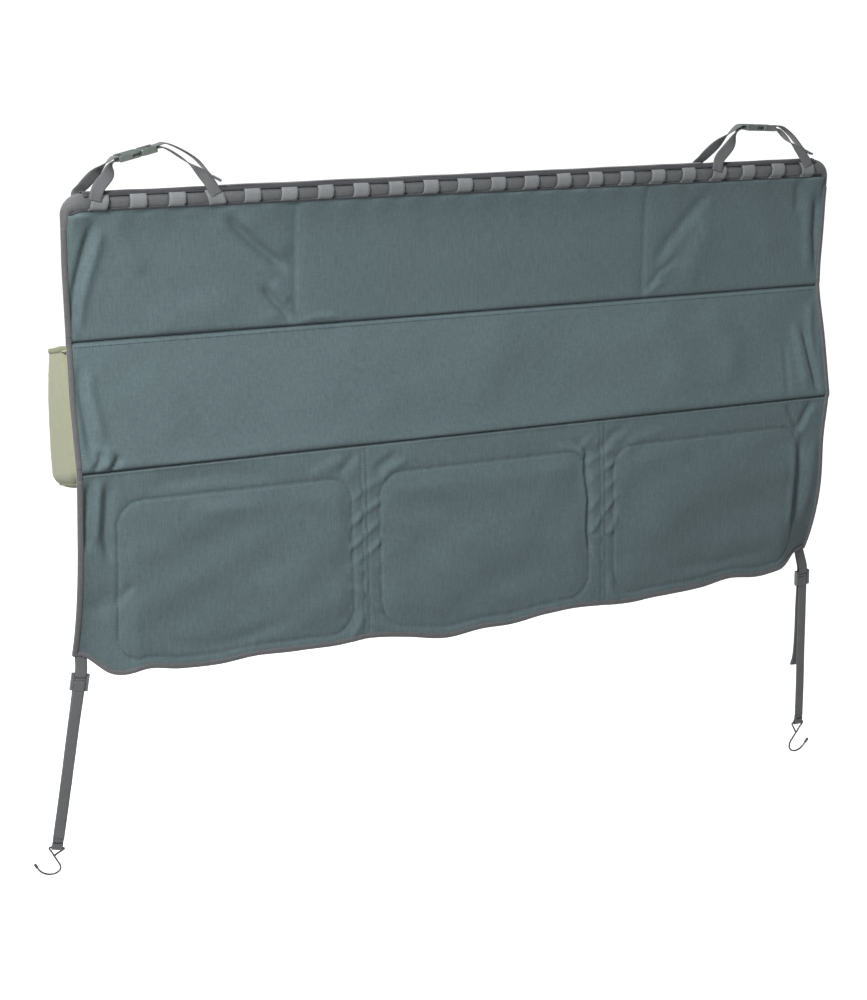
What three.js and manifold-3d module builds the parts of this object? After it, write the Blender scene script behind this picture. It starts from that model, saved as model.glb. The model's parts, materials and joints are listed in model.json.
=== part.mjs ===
// Hanging field panel. A padded top tube carries a ladder of webbing loops and three cloth
// sections joined by two fold seams. The back carries flat pockets, a box pocket with a flap and
// three zipped compartments. Two buckled handles hold it up, and a hook strap hangs at each
// lower corner. Millimetres, +Z up, +Y towards the pocket side. The origin is midway between
// the handles, at the height where what they hang on touches them.
import * as THREE from 'three';
import { mergeVertices } from 'three/addons/utils/BufferGeometryUtils.js';
import Module from 'manifold-3d';

const wasm = await Module();
wasm.setup();

// Driving dimensions
const halfWidth = 650;
const bindingWidth = 8;
const bindingThickness = 7;
const clothThickness = 4;
const fit = 0.4; // gap between pieces that touch
const seamGap = 4; // from a fold seam's axis to the solid cloth on each side

const tubeZ = -59;
const tubeRadius = 14.5;
const rodRadius = 5;
const cornerRadius = 24; // bend of the tube's ends into the side bindings

const seam1 = { y: 0, z: -252 };
const seam2 = { y: -39, z: -431 };
const hemZ = -717;
const middleTilt = Math.atan2(seam2.y - seam1.y, seam1.z - seam2.z);
const middleLength = Math.hypot(seam2.y - seam1.y, seam2.z - seam1.z);
const lowerLength = seam2.z - hemZ;

const loopCount = 22;
const loopPitch = 57;
const loopWidth = 25;
const loopStandoff = 2.6;
const webbing = 1.6; // thickness of all webbing

const stitchX = 300; // divider between the flat pockets
const pocketThickness = 3;
const boxDepth = 120;
const boxMouth = 80;
const boxCorner = 22;
const wall = 3;
const trayWall = 2;
const padWidth = 364;
const padHeight = 226;
const padDepth = 46;
const padCorner = 38;
const padPitch = 410;
const padDrop = 45; // from the lower seam to a compartment's top

const strapWidth = 17;
const handleWidth = 18;
const handleSpan = 1026; // between the two handles' middles
const wireRadius = 1.5;

const slate = new THREE.MeshStandardMaterial({ color: 0x5f7378, roughness: 0.9 });
const sage = new THREE.MeshStandardMaterial({ color: 0xb2b59d, roughness: 0.9 });
const trim = new THREE.MeshStandardMaterial({ color: 0x65686d, roughness: 0.85 });
const loopGrey = new THREE.MeshStandardMaterial({ color: 0x929698, roughness: 0.8 });
const strapGrey = new THREE.MeshStandardMaterial({ color: 0x6e7173, roughness: 0.8 });
const plastic = new THREE.MeshStandardMaterial({ color: 0x5d6463, roughness: 0.45 });
const steel = new THREE.MeshStandardMaterial({ color: 0x4a4c4d, roughness: 0.35, metalness: 0.9 });

const model = new THREE.Group();

function add(parent, name, geometry, material) {
  const mesh = new THREE.Mesh(geometry, material.clone());
  mesh.name = name;
  parent.add(mesh);
  return mesh;
}

function group(parent, x, y, z) {
  const g = new THREE.Group();
  g.position.set(x, y, z);
  parent.add(g);
  return g;
}

// Booleans
function solid(geometry) {
  const bare = geometry.index ? geometry.toNonIndexed() : geometry.clone();
  bare.deleteAttribute('normal');
  bare.deleteAttribute('uv');
  const merged = mergeVertices(bare, 1e-4);
  return new wasm.Manifold(new wasm.Mesh({
    numProp: 3,
    vertProperties: new Float32Array(merged.attributes.position.array),
    triVerts: new Uint32Array(merged.index.array),
  }));
}

function surface(body) {
  const mesh = body.getMesh();
  const geometry = new THREE.BufferGeometry();
  geometry.setAttribute('position', new THREE.BufferAttribute(mesh.vertProperties, 3));
  geometry.setIndex(new THREE.BufferAttribute(mesh.triVerts, 1));
  geometry.computeVertexNormals();
  return geometry;
}

function joined(...parts) {
  return surface(parts.map(solid).reduce((a, b) => a.add(b)));
}

function cut(part, ...holes) {
  return surface(holes.map(solid).reduce((a, b) => a.subtract(b), solid(part)));
}

// Shapes
function block(x0, x1, y0, y1, z0, z1) {
  const geometry = new THREE.BoxGeometry(x1 - x0, y1 - y0, z1 - z0);
  return geometry.translate((x0 + x1) / 2, (y0 + y1) / 2, (z0 + z1) / 2);
}

// A (y, z) outline pushed along X
function alongX(shape, x0, x1, curveSegments = 6) {
  const geometry = new THREE.ExtrudeGeometry(shape, {
    depth: x1 - x0, bevelEnabled: false, curveSegments,
  });
  const turn = new THREE.Matrix4().makeBasis(
    new THREE.Vector3(0, 1, 0), new THREE.Vector3(0, 0, 1), new THREE.Vector3(1, 0, 0));
  return geometry.applyMatrix4(turn).translate(x0, 0, 0);
}

// An (x, z) outline pushed along Y, with rounded edges where a bevel is given
function alongY(shape, y0, y1, bevel = 0, curveSegments = 6) {
  const geometry = new THREE.ExtrudeGeometry(shape, {
    depth: y1 - y0 - 2 * bevel, bevelEnabled: bevel > 0, bevelThickness: bevel,
    bevelSize: bevel, bevelOffset: -bevel, bevelSegments: 2, curveSegments,
  });
  const turn = new THREE.Matrix4().makeBasis(
    new THREE.Vector3(1, 0, 0), new THREE.Vector3(0, 0, 1), new THREE.Vector3(0, -1, 0));
  return geometry.applyMatrix4(turn).translate(0, y1 - bevel, 0);
}

function roundedRectangle(a0, a1, b0, b1, r) {
  const shape = new THREE.Shape();
  shape.moveTo(a0 + r, b0);
  shape.lineTo(a1 - r, b0);
  shape.absarc(a1 - r, b0 + r, r, -Math.PI / 2, 0, false);
  shape.lineTo(a1, b1 - r);
  shape.absarc(a1 - r, b1 - r, r, 0, Math.PI / 2, false);
  shape.lineTo(a0 + r, b1);
  shape.absarc(a0 + r, b1 - r, r, Math.PI / 2, Math.PI, false);
  shape.lineTo(a0, b0 + r);
  shape.absarc(a0 + r, b0 + r, r, Math.PI, 1.5 * Math.PI, false);
  return shape;
}

const radians = (degrees) => THREE.MathUtils.degToRad(degrees);

// Part of a ring about the X axis, between two radii and two angles from +Y towards +Z
function ringPart(r0, r1, from, to) {
  const shape = new THREE.Shape();
  shape.absarc(0, 0, r1, radians(from), radians(to), false);
  shape.absarc(0, 0, r0, radians(to), radians(from), true);
  return shape;
}

// A flat strap: a rectangle carried along a curve, its width along across(t)
function ribbon(points, across, width, thickness, steps) {
  const curve = new THREE.CatmullRomCurve3(points, false, 'centripetal');
  const positions = [];
  for (let i = 0; i <= steps; i += 1) {
    const t = i / steps;
    const middle = curve.getPoint(t);
    const tangent = curve.getTangent(t);
    const side = across(t).clone().projectOnPlane(tangent).setLength(width / 2);
    const normal = new THREE.Vector3().crossVectors(tangent, side).setLength(thickness / 2);
    for (const [s, n] of [[1, 1], [-1, 1], [-1, -1], [1, -1]]) {
      const corner = middle.clone().addScaledVector(side, s).addScaledVector(normal, n);
      positions.push(corner.x, corner.y, corner.z);
    }
  }
  const faces = [0, 2, 1, 0, 3, 2];
  for (let i = 0; i < steps; i += 1) {
    for (let k = 0; k < 4; k += 1) {
      const a = 4 * i + k;
      const b = 4 * i + ((k + 1) % 4);
      faces.push(a, b, a + 4, b, b + 4, a + 4);
    }
  }
  const end = 4 * steps;
  faces.push(end, end + 1, end + 2, end, end + 2, end + 3);
  const geometry = new THREE.BufferGeometry();
  geometry.setAttribute('position', new THREE.Float32BufferAttribute(positions, 3));
  geometry.setIndex(faces);
  geometry.computeVertexNormals();
  return geometry;
}

// A sheet of even thickness whose front face stands at y = front(x, z)
function sheet(front, x0, x1, z0, z1, columns, rows, thickness) {
  const positions = [];
  for (const back of [0, 1]) {
    for (let j = 0; j <= rows; j += 1) {
      for (let i = 0; i <= columns; i += 1) {
        const x = x0 + ((x1 - x0) * i) / columns;
        const z = z0 + ((z1 - z0) * j) / rows;
        positions.push(x, front(x, z) + back * thickness, z);
      }
    }
  }
  const layer = (columns + 1) * (rows + 1);
  const at = (i, j, back) => back * layer + j * (columns + 1) + i;
  const faces = [];
  const quad = (a, b, c, d) => faces.push(a, b, c, a, c, d);
  for (let j = 0; j < rows; j += 1) {
    for (let i = 0; i < columns; i += 1) {
      quad(at(i, j, 0), at(i + 1, j, 0), at(i + 1, j + 1, 0), at(i, j + 1, 0));
      quad(at(i, j, 1), at(i, j + 1, 1), at(i + 1, j + 1, 1), at(i + 1, j, 1));
    }
    quad(at(0, j, 1), at(0, j, 0), at(0, j + 1, 0), at(0, j + 1, 1));
    quad(at(columns, j, 0), at(columns, j, 1), at(columns, j + 1, 1), at(columns, j + 1, 0));
  }
  for (let i = 0; i < columns; i += 1) {
    quad(at(i, 0, 1), at(i + 1, 0, 1), at(i + 1, 0, 0), at(i, 0, 0));
    quad(at(i, rows, 0), at(i + 1, rows, 0), at(i + 1, rows, 1), at(i, rows, 1));
  }
  const geometry = new THREE.BufferGeometry();
  geometry.setAttribute('position', new THREE.Float32BufferAttribute(positions, 3));
  geometry.setIndex(faces);
  geometry.computeVertexNormals();
  return geometry;
}

// Webbing folded round a bar that lies along X: a hairpin, open upwards
function hairpin(barRadius, width, legLength) {
  const inner = barRadius + fit;
  const outer = inner + webbing;
  const shape = new THREE.Shape();
  shape.moveTo(outer, legLength);
  shape.lineTo(inner, legLength);
  shape.lineTo(inner, 0);
  shape.absarc(0, 0, inner, 0, Math.PI, true);
  shape.lineTo(-inner, legLength);
  shape.lineTo(-outer, legLength);
  shape.lineTo(-outer, 0);
  shape.absarc(0, 0, outer, Math.PI, 2 * Math.PI, false);
  return alongX(shape, -width / 2, width / 2, 8);
}

// ---- Top tube, its loops and the flat-pocket section ----

// The tube's end turns down through a quarter circle, from its open end to the side binding
function tubeEnd(side) {
  const at = (along, down) => new THREE.Vector3(
    side * (halfWidth - tubeRadius - cornerRadius + along), 0, -down);
  const round = 0.552 * cornerRadius;
  const bend = new THREE.CurvePath();
  bend.add(new THREE.LineCurve3(at(0, 0), at(4, 0)));
  bend.add(new THREE.CubicBezierCurve3(at(4, 0), at(round, 0),
    at(cornerRadius, cornerRadius - round), at(cornerRadius, cornerRadius)));
  bend.add(new THREE.LineCurve3(at(cornerRadius, cornerRadius), at(cornerRadius, cornerRadius + 8)));
  const section = new THREE.Shape();
  section.absarc(0, 0, tubeRadius, 0, 2 * Math.PI, false);
  return new THREE.ExtrudeGeometry(section, {
    extrudePath: bend, steps: 8, curveSegments: 8, bevelEnabled: false,
  });
}

function buildTube(parent) {
  const endX = halfWidth - tubeRadius - cornerRadius;
  const sleeve = new THREE.Shape();
  sleeve.absarc(0, 0, tubeRadius, 0, 2 * Math.PI, false);
  const bore = new THREE.Path();
  bore.absarc(0, 0, rodRadius + fit, 0, 2 * Math.PI, true);
  sleeve.holes.push(bore);
  add(parent, 'tube_sleeve', alongX(sleeve, -endX + fit, endX - fit, 12), trim);
  const rod = new THREE.Shape();
  rod.absarc(0, 0, rodRadius, 0, 2 * Math.PI, false);
  add(parent, 'stiffener_rod', alongX(rod, -endX + 1, endX - 1, 6), steel);
  add(parent, 'tube_end_left', tubeEnd(-1), trim);
  add(parent, 'tube_end_right', tubeEnd(1), trim);
}

// All loops hang from one tape along the tube's top back and end in one strip at its foot
function buildLoops(parent) {
  const inner = tubeRadius + fit;
  const outer = tubeRadius + loopStandoff + webbing;
  const firstX = (-loopPitch * (loopCount - 1)) / 2;
  const reach = -firstX + loopWidth / 2 + 4;
  const tape = alongX(ringPart(inner, outer, 42, 62), -reach, reach, 1);
  const foot = alongX(ringPart(inner, outer - webbing / 2, 240, 256), -reach, reach, 1);
  const loops = [];
  for (let i = 0; i < loopCount; i += 1) {
    const x = firstX + i * loopPitch;
    const band = ringPart(outer - webbing, outer, 56, 246);
    loops.push(alongX(band, x - loopWidth / 2, x + loopWidth / 2, 5));
  }
  add(parent, 'loop_ladder', joined(tape, foot, ...loops), loopGrey);
}

function buildUpper() {
  const header = group(model, 0, 0, tubeZ);
  buildTube(header);
  buildLoops(header);
  const top = -tubeRadius - fit - 1;
  const bottom = seam1.z - tubeZ + seamGap;
  const edge = halfWidth - bindingWidth - fit;
  const half = clothThickness / 2;
  const sides = edge - 2 * tubeRadius;
  const notch = -cornerRadius - 8 - fit;
  const outline = new THREE.Shape();
  outline.moveTo(-sides, top);
  outline.lineTo(-sides, notch);
  outline.lineTo(-edge, notch);
  outline.lineTo(-edge, bottom);
  outline.lineTo(edge, bottom);
  outline.lineTo(edge, notch);
  outline.lineTo(sides, notch);
  outline.lineTo(sides, top);
  add(header, 'upper_panel', alongY(outline, -half, half), slate);
  for (const [name, side] of [['left', -1], ['right', 1]]) {
    const x = side * (halfWidth - bindingWidth / 2);
    add(header, `upper_binding_${name}`, block(
      x - bindingWidth / 2, x + bindingWidth / 2, -bindingThickness / 2, bindingThickness / 2,
      bottom, notch), trim);
  }
  const spans = [['left', -edge + 2, -stitchX - 1], ['centre', -stitchX + 1, stitchX - 1],
    ['right', stitchX + 1, edge - 2]];
  for (const [name, x0, x1] of spans) {
    const y0 = half + fit;
    add(header, `flat_pocket_${name}`, block(
      x0, x1, y0, y0 + pocketThickness, bottom + 6, notch - 12), slate);
  }
}

// ---- Middle section with the box pocket ----

function buildMiddle() {
  const middle = group(model, 0, seam1.y, seam1.z);
  middle.rotation.x = middleTilt;
  const half = clothThickness / 2;
  const edge = halfWidth - bindingWidth - fit;
  const bottom = -middleLength + seamGap;
  add(middle, 'middle_panel', block(-edge, edge, -half, half, bottom, -seamGap), slate);
  for (const [name, side] of [['left', -1], ['right', 1]]) {
    const x = side * (halfWidth - bindingWidth / 2);
    add(middle, `middle_binding_${name}`, block(
      x - bindingWidth / 2, x + bindingWidth / 2, -bindingThickness / 2, bindingThickness / 2,
      bottom, -seamGap), trim);
  }
  buildBoxPocket(middle, half + bindingThickness / 2);
}

function buildBoxPocket(middle, back) {
  // The pocket is deeper at its foot than at its mouth, and its back wall leaves the fold seam free
  const top = -2;
  const bottom = -middleLength - 21;
  const lidThickness = 3;
  const wallTop = top - lidThickness - fit;
  const reach = halfWidth - 1;
  const slope = (boxDepth - boxMouth) / (wallTop - bottom - boxCorner);
  const frontAt = (z) => back + boxMouth + slope * (wallTop - z);
  const profile = (inset, mouth) => {
    const shape = new THREE.Shape();
    shape.moveTo(back + inset, mouth);
    shape.lineTo(back + inset, -middleLength + 6);
    shape.lineTo(back + inset + 14, bottom + inset);
    shape.lineTo(back + boxDepth - boxCorner, bottom + inset);
    shape.quadraticCurveTo(back + boxDepth - inset, bottom + inset,
      back + boxDepth - inset, bottom + boxCorner);
    shape.lineTo(frontAt(mouth) - inset, mouth);
    return shape;
  };
  add(middle, 'box_pocket', cut(
    alongX(profile(0, wallTop), -reach, reach),
    alongX(profile(wall, wallTop + 30), -reach + wall, reach - wall)), sage);
  // The flap covers the top, bends over the front edge and hangs down outside it
  const lip = 36;
  const over = frontAt(wallTop) + fit;
  const low = frontAt(top - lip) + fit;
  const flap = new THREE.Shape();
  flap.moveTo(back, top - lidThickness);
  flap.lineTo(over, top - lidThickness);
  flap.lineTo(low, top - lip);
  flap.lineTo(low + lidThickness, top - lip);
  flap.lineTo(over + lidThickness, top - lidThickness);
  flap.absarc(over, top - lidThickness, lidThickness, 0, Math.PI / 2, false);
  flap.lineTo(back, top);
  add(middle, 'box_flap', alongX(flap, -reach, reach), sage);
}

// ---- Lower section: a cloth that bows forward in its middle and is pulled back at its corners ----

function lowerFront(x, z) {
  const down = -z / lowerLength;
  const out = THREE.MathUtils.smoothstep(Math.abs(x), 204, halfWidth);
  const corner = THREE.MathUtils.smoothstep(Math.abs(x), 560, halfWidth);
  return (-20 + 26 * out) * down + 38 * corner * down ** 3 - clothThickness / 2;
}

function buildLower() {
  const lower = group(model, 0, seam2.y, seam2.z);
  const edge = halfWidth - bindingWidth - fit;
  const hem = -lowerLength + bindingWidth;
  add(lower, 'lower_panel', sheet(
    lowerFront, -edge, edge, hem + fit, -seamGap, 24, 6, clothThickness), slate);
  const proud = (bindingThickness - clothThickness) / 2;
  const front = (x, z) => lowerFront(x, z) - proud;
  for (const [name, side] of [['left', -1], ['right', 1]]) {
    const x = side * (halfWidth - bindingWidth / 2);
    add(lower, `lower_binding_${name}`, sheet(
      front, x - bindingWidth / 2, x + bindingWidth / 2, hem + fit, -seamGap, 1, 8,
      bindingThickness), trim);
  }
  add(lower, 'hem_binding', sheet(
    front, -halfWidth, halfWidth, -lowerLength, hem, 24, 1, bindingThickness), trim);
  buildCompartments(lower);
}

// A zipped compartment: a tray with rounded corners, open towards the cloth, and its zip slider
function buildCompartments(lower) {
  const places = [['left', -1], ['centre', 0], ['right', 1]];
  for (const [name, side] of places) {
    const tray = group(lower, side * padPitch, side === 0 ? 4 : 11.5, -padDrop);
    tray.rotation.set(radians(side === 0 ? -4 : -1.2), 0, radians(side * 2.2));
    const shape = (inset) => roundedRectangle(
      -padWidth / 2 + inset, padWidth / 2 - inset, -padHeight + inset, -inset, padCorner - inset);
    add(tray, `compartment_${name}`, cut(
      alongY(shape(0), 0, padDepth), alongY(shape(trayWall), -5, padDepth - trayWall)), slate);
    add(tray, `zip_slider_${name}`, zipSlider(), steel);
  }
}

// The slider rides on the compartment's outer face near its top edge, with its pull hanging down
function zipSlider() {
  const x = -padWidth / 2 + 46;
  const y = padDepth + fit;
  const z = -26;
  const pull = roundedRectangle(x - 3, x + 3, z - 30, z - 2, 2.5);
  return joined(
    alongY(roundedRectangle(x - 7, x + 7, z - 5, z + 5, 3), y, y + 3, 0, 2),
    alongY(pull, y + 1.6, y + 3.4, 0, 2));
}

// ---- Handles ----

const buckleLength = 58;
const socketLength = 33;
const buckleWidth = 27;
const buckleHeight = 9;
const barRadius = 1.5;
const barAlong = 2.4; // the socket's strap bar, from its end

// Outline of the buckle seen from above, x along it and y across, pushed up along Z
function upwards(shape, z0, z1, bevel = 0) {
  const geometry = new THREE.ExtrudeGeometry(shape, {
    depth: z1 - z0 - 2 * bevel, bevelEnabled: bevel > 0, bevelThickness: bevel,
    bevelSize: bevel, bevelOffset: -bevel, bevelSegments: 2, curveSegments: 5,
  });
  return geometry.translate(0, 0, z0 + bevel);
}

function buckleSocket() {
  const half = buckleWidth / 2;
  const body = upwards(roundedRectangle(0, socketLength, -half, half, 4),
    -buckleHeight / 2, buckleHeight / 2, 1.2);
  const cavity = block(11, socketLength + 1, -10.5, 10.5, -2.8, 2.8);
  const windows = block(20, 31, -half - 1, half + 1, -2, 2);
  const slot = block(-1, barAlong + 5, -10.8, 10.8, -6, 6);
  const bar = new THREE.CylinderGeometry(barRadius, barRadius, 22.6, 10)
    .translate(barAlong, 0, 0);
  return surface(solid(body).subtract(solid(cavity)).subtract(solid(windows))
    .subtract(solid(slot)).add(solid(bar)));
}

function bucklePlug() {
  const half = buckleWidth / 2;
  const base = upwards(roundedRectangle(socketLength + fit, buckleLength, -half, half, 4),
    -buckleHeight / 2, buckleHeight / 2, 1.2);
  const tongue = block(14, socketLength + 4, -2.4, 2.4, -2, 2);
  const prongs = [-1, 1].map((side) => {
    const prong = new THREE.Shape();
    prong.moveTo(socketLength + 4, side * 6);
    prong.lineTo(17, side * 7);
    prong.lineTo(15, side * 8.2);
    prong.lineTo(21, side * 10);
    prong.lineTo(29.5, side * 10.1);
    prong.lineTo(30, side * 9.2);
    prong.lineTo(socketLength + 4, side * 9);
    return upwards(prong, -2, 2);
  });
  const slots = [46, 55].map((x) => block(x, x + 5, -10.6, 10.6, -6, 6));
  return surface(slots.map(solid).reduce((a, b) => a.subtract(b),
    [tongue, ...prongs].map(solid).reduce((a, b) => a.add(b), solid(base))));
}

const acrossY = new THREE.Vector3(0, 1, 0);
const acrossX = new THREE.Vector3(1, 0, 0);
const turning = (from, to, t) => from.clone().lerp(to, THREE.MathUtils.smoothstep(t, 0, 1));

// One handle about its own middle. The buckle's left end is at (x, z), tilted up to the right.
function buildHandle(name, middleX, x, z, tilt, sag) {
  const handle = group(model, middleX, 0, 0);
  const buckle = group(handle, x, 0, z);
  buckle.rotation.y = -radians(tilt);
  add(buckle, `buckle_socket_${name}`, buckleSocket(), plastic);
  add(buckle, `buckle_plug_${name}`, bucklePlug(), plastic);
  const place = (along, up) => {
    const c = Math.cos(radians(tilt));
    const s = Math.sin(radians(tilt));
    return new THREE.Vector3(x + along * c - up * s, 0, z + along * s + up * c);
  };
  // The anchor strap comes up in front of the tube, turns round the socket's bar and goes down
  // behind the tube
  const r = barRadius + fit + webbing / 2;
  const footX = -(loopPitch * 3) / 2;
  const anchor = [
    new THREE.Vector3(footX - 6, -22, -52), new THREE.Vector3(footX + 3, -18, -38),
    place(-14, -6).setY(-2), place(-4, -r - 0.8), place(barAlong, -r),
    place(barAlong + 0.707 * r, -0.707 * r), place(barAlong + r, 0),
    place(barAlong + 0.707 * r, 0.707 * r), place(barAlong, r),
    place(-4, r + 0.2), place(-14, 1.5).setY(2),
    new THREE.Vector3(footX - 10, 16, -36), new THREE.Vector3(footX - 20, 22, -50),
  ];
  const face = (t) => {
    if (t < 0.3) return turning(acrossX, acrossY, t / 0.3);
    return t < 0.7 ? acrossY : turning(acrossY, acrossX, (t - 0.7) / 0.3);
  };
  add(handle, `anchor_strap_${name}`, ribbon(anchor, face, handleWidth, webbing, 48), strapGrey);
  // The pull strap leaves the plug and comes down in front of the tube
  const pull = [place(buckleLength + 1, 0), place(buckleLength + 12, -2.5),
    new THREE.Vector3(54, -4, sag), new THREE.Vector3(76, -16, sag - 22),
    new THREE.Vector3(84, -22, -52)];
  const pullFace = (t) => turning(acrossY, acrossX, (t - 0.45) / 0.55);
  add(handle, `pull_strap_${name}`, ribbon(pull, pullFace, handleWidth, webbing, 24), strapGrey);
  // Its tail lies over it and stands off at its end
  const tail = [place(buckleLength + 3, 3), place(buckleLength + 14, 3),
    new THREE.Vector3(60, 0, sag + 10), new THREE.Vector3(82, -6, sag - 14),
    new THREE.Vector3(96, -12, -36)];
  add(handle, `strap_tail_${name}`, ribbon(
    tail, () => acrossY, handleWidth, webbing, 20), strapGrey);
}

// ---- Hook straps ----

const lockWidth = 26;
const midBarZ = -11;
const lockFoot = -23;
const tailLength = 168;

// A ladder lock: two side rails, a round bar for the tab, a round bar for the strap, a grip bar
function ladderLock() {
  const rail = strapWidth / 2 + 0.6;
  const rails = [-1, 1].map((side) => alongX(
    roundedRectangle(-3.6, 3.6, lockFoot, 3.5, 3),
    Math.min(side * rail, (side * lockWidth) / 2), Math.max(side * rail, (side * lockWidth) / 2)));
  const bar = (z) => new THREE.CylinderGeometry(barRadius, barRadius, 2 * rail + 2, 10)
    .rotateZ(Math.PI / 2).translate(0, 0, z);
  const grip = block(-rail - 1, rail + 1, -1, 1, lockFoot + 1, lockFoot + 5);
  return joined(...rails, bar(0), bar(midBarZ), grip);
}

// The strap's short upper stretch turns over the lock's lower bar and hangs behind as the tail
function strapTail() {
  const inner = barRadius + fit;
  const outer = inner + webbing;
  const shape = new THREE.Shape();
  shape.moveTo(-inner, lockFoot - 1);
  shape.lineTo(-inner, midBarZ);
  shape.absarc(0, midBarZ, inner, Math.PI, 0, true);
  shape.lineTo(inner, -tailLength);
  shape.lineTo(outer, -tailLength);
  shape.lineTo(outer, midBarZ);
  shape.absarc(0, midBarZ, outer, 0, Math.PI, false);
  shape.lineTo(-outer, lockFoot - 1);
  return alongX(shape, -strapWidth / 2, strapWidth / 2, 8);
}

// One bent wire: a triangle round the strap's end, crossing over itself into an open hook
function hookWire(opens) {
  const corner = strapWidth / 2 + 2.4;
  const flat = corner - 1.1;
  const beside = 2 * wireRadius + 0.3;
  const outline = [[0.4, beside, -19.5], [3.5, beside * 0.8, -14], [corner, 0.4, -1.8], [flat, 0, 0],
    [0, 0, 0], [-flat, 0, 0], [-corner, 0, -1.8], [-5.5, 0, -10], [0, 0, -18.5], [6.5, 0, -28],
    [12, 0, -37], [12.5, 0, -46], [7, 0, -53], [-2, 0, -55.5], [-11, 0, -53], [-18.5, 0, -46.5],
    [-25, 0, -37.5]];
  const path = new THREE.CatmullRomCurve3(
    outline.map(([x, y, z]) => new THREE.Vector3(opens * x, y, z)), false, 'centripetal');
  const section = new THREE.Shape();
  section.absarc(0, 0, wireRadius, 0, 2 * Math.PI, false);
  return new THREE.ExtrudeGeometry(section, {
    extrudePath: path, steps: 56, curveSegments: 4, bevelEnabled: false,
  });
}

// lean tips the strap sideways, turn swings its face about its length and tilt swings the hook
// back, in degrees
function buildHookStrap(name, { x, y, z, lean, turn, length, tilt, opens }) {
  const hang = group(model, x, y, z);
  hang.rotation.set(0, radians(lean), radians(turn));
  add(hang, `corner_tab_${name}`, hairpin(barRadius, strapWidth, hemZ - z - 2), strapGrey);
  add(hang, `ladder_lock_${name}`, ladderLock(), plastic);
  add(hang, `strap_tail_lower_${name}`, strapTail(), strapGrey);
  const front = -barRadius - fit - webbing;
  const endTop = -length + 14;
  add(hang, `hook_strap_${name}`, block(-strapWidth / 2, strapWidth / 2, front,
    front + webbing, endTop + fit, lockFoot - 1 - fit), strapGrey);
  const end = group(hang, 0, 0, -length);
  add(end, `strap_end_${name}`, hairpin(wireRadius, strapWidth - 1, 14), strapGrey);
  const hook = group(end, 0, 0, 0);
  hook.rotation.x = radians(tilt);
  add(hook, `hook_${name}`, hookWire(opens), steel);
}

buildUpper();
buildMiddle();
buildLower();
buildHandle('left', -handleSpan / 2, -54, -1, 13, -13);
buildHandle('right', handleSpan / 2, -34, 10, -3, -14);
buildHookStrap('left', {
  x: -638, y: 5, z: -738, lean: 9.5, turn: -10, length: 262, tilt: 25, opens: 1,
});
buildHookStrap('right', {
  x: 648, y: 5, z: -745, lean: -1.7, turn: 0, length: 272, tilt: 6, opens: -1,
});

export default model;
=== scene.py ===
import json
import math

import bpy
import numpy as np
from mathutils import Matrix, Vector


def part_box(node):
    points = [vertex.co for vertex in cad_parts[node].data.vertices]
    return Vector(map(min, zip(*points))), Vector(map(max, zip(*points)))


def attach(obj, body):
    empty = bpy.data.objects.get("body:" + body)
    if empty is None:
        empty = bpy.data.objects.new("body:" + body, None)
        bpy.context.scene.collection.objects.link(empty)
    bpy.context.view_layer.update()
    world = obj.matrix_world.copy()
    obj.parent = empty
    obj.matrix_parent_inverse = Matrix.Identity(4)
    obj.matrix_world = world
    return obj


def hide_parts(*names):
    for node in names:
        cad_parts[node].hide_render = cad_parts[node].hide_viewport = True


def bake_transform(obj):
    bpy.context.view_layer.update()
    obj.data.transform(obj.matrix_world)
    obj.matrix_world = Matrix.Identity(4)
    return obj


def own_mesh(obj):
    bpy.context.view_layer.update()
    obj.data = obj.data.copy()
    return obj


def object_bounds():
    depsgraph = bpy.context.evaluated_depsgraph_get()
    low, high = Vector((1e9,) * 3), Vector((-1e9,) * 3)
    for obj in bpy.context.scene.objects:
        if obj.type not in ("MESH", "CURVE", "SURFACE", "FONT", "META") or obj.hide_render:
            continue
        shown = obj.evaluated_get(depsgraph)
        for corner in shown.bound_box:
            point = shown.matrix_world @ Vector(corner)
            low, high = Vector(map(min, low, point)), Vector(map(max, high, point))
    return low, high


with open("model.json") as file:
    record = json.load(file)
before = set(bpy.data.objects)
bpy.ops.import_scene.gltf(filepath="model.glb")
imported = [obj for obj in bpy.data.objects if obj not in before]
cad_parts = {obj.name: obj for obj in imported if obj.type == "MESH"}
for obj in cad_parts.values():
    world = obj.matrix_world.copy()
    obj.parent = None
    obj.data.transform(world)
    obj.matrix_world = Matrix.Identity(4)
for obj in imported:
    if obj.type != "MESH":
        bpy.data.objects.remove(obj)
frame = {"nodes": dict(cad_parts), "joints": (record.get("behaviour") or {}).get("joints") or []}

# Lengths are in millimetres until a mesh or an object is made, and +Z is up.
MM = 0.001
cad_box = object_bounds()
joints = {j["name"]: j for j in frame["joints"]}


def mm(point):
    return np.array(point, float) / MM


def box_mm(node):
    low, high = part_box(node)
    return mm(low), mm(high)


# Driving dimensions, read from the frame where it holds them
half_width = box_mm("hem_binding")[1][0]
skin_inset = 0.8
tube_z = mm(joints["header_swing"]["pos_m"])[2] - skin_inset
seam1 = mm(joints["middle_fold"]["pos_m"])
seam2 = mm(joints["lower_fold"]["pos_m"])
hem_z = box_mm("hem_binding")[0][2]
tube_radius = box_mm("tube_sleeve")[1][1] - skin_inset
cloth_top = box_mm("upper_panel")[1][2]
loop_count = 22
loop_pitch = 57
loop_width = 25
webbing = 1.6
stitch_x = 300
cloth_half = 1.4
seam_gap = 1.8
thread_pitch = 0.0011    # in metres
zip_z = -26.0
pad_half = np.array([182, 113])
pad_pitch = 410
pad_corner = 38
pad_drop = 45
pad_v = pad_drop + pad_half[1]
divider_x = (204, 212)
sides = (("left", -1), ("right", 1))
buckle_length = 58
binding_half = np.array([4.2, 3.6])

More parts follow.
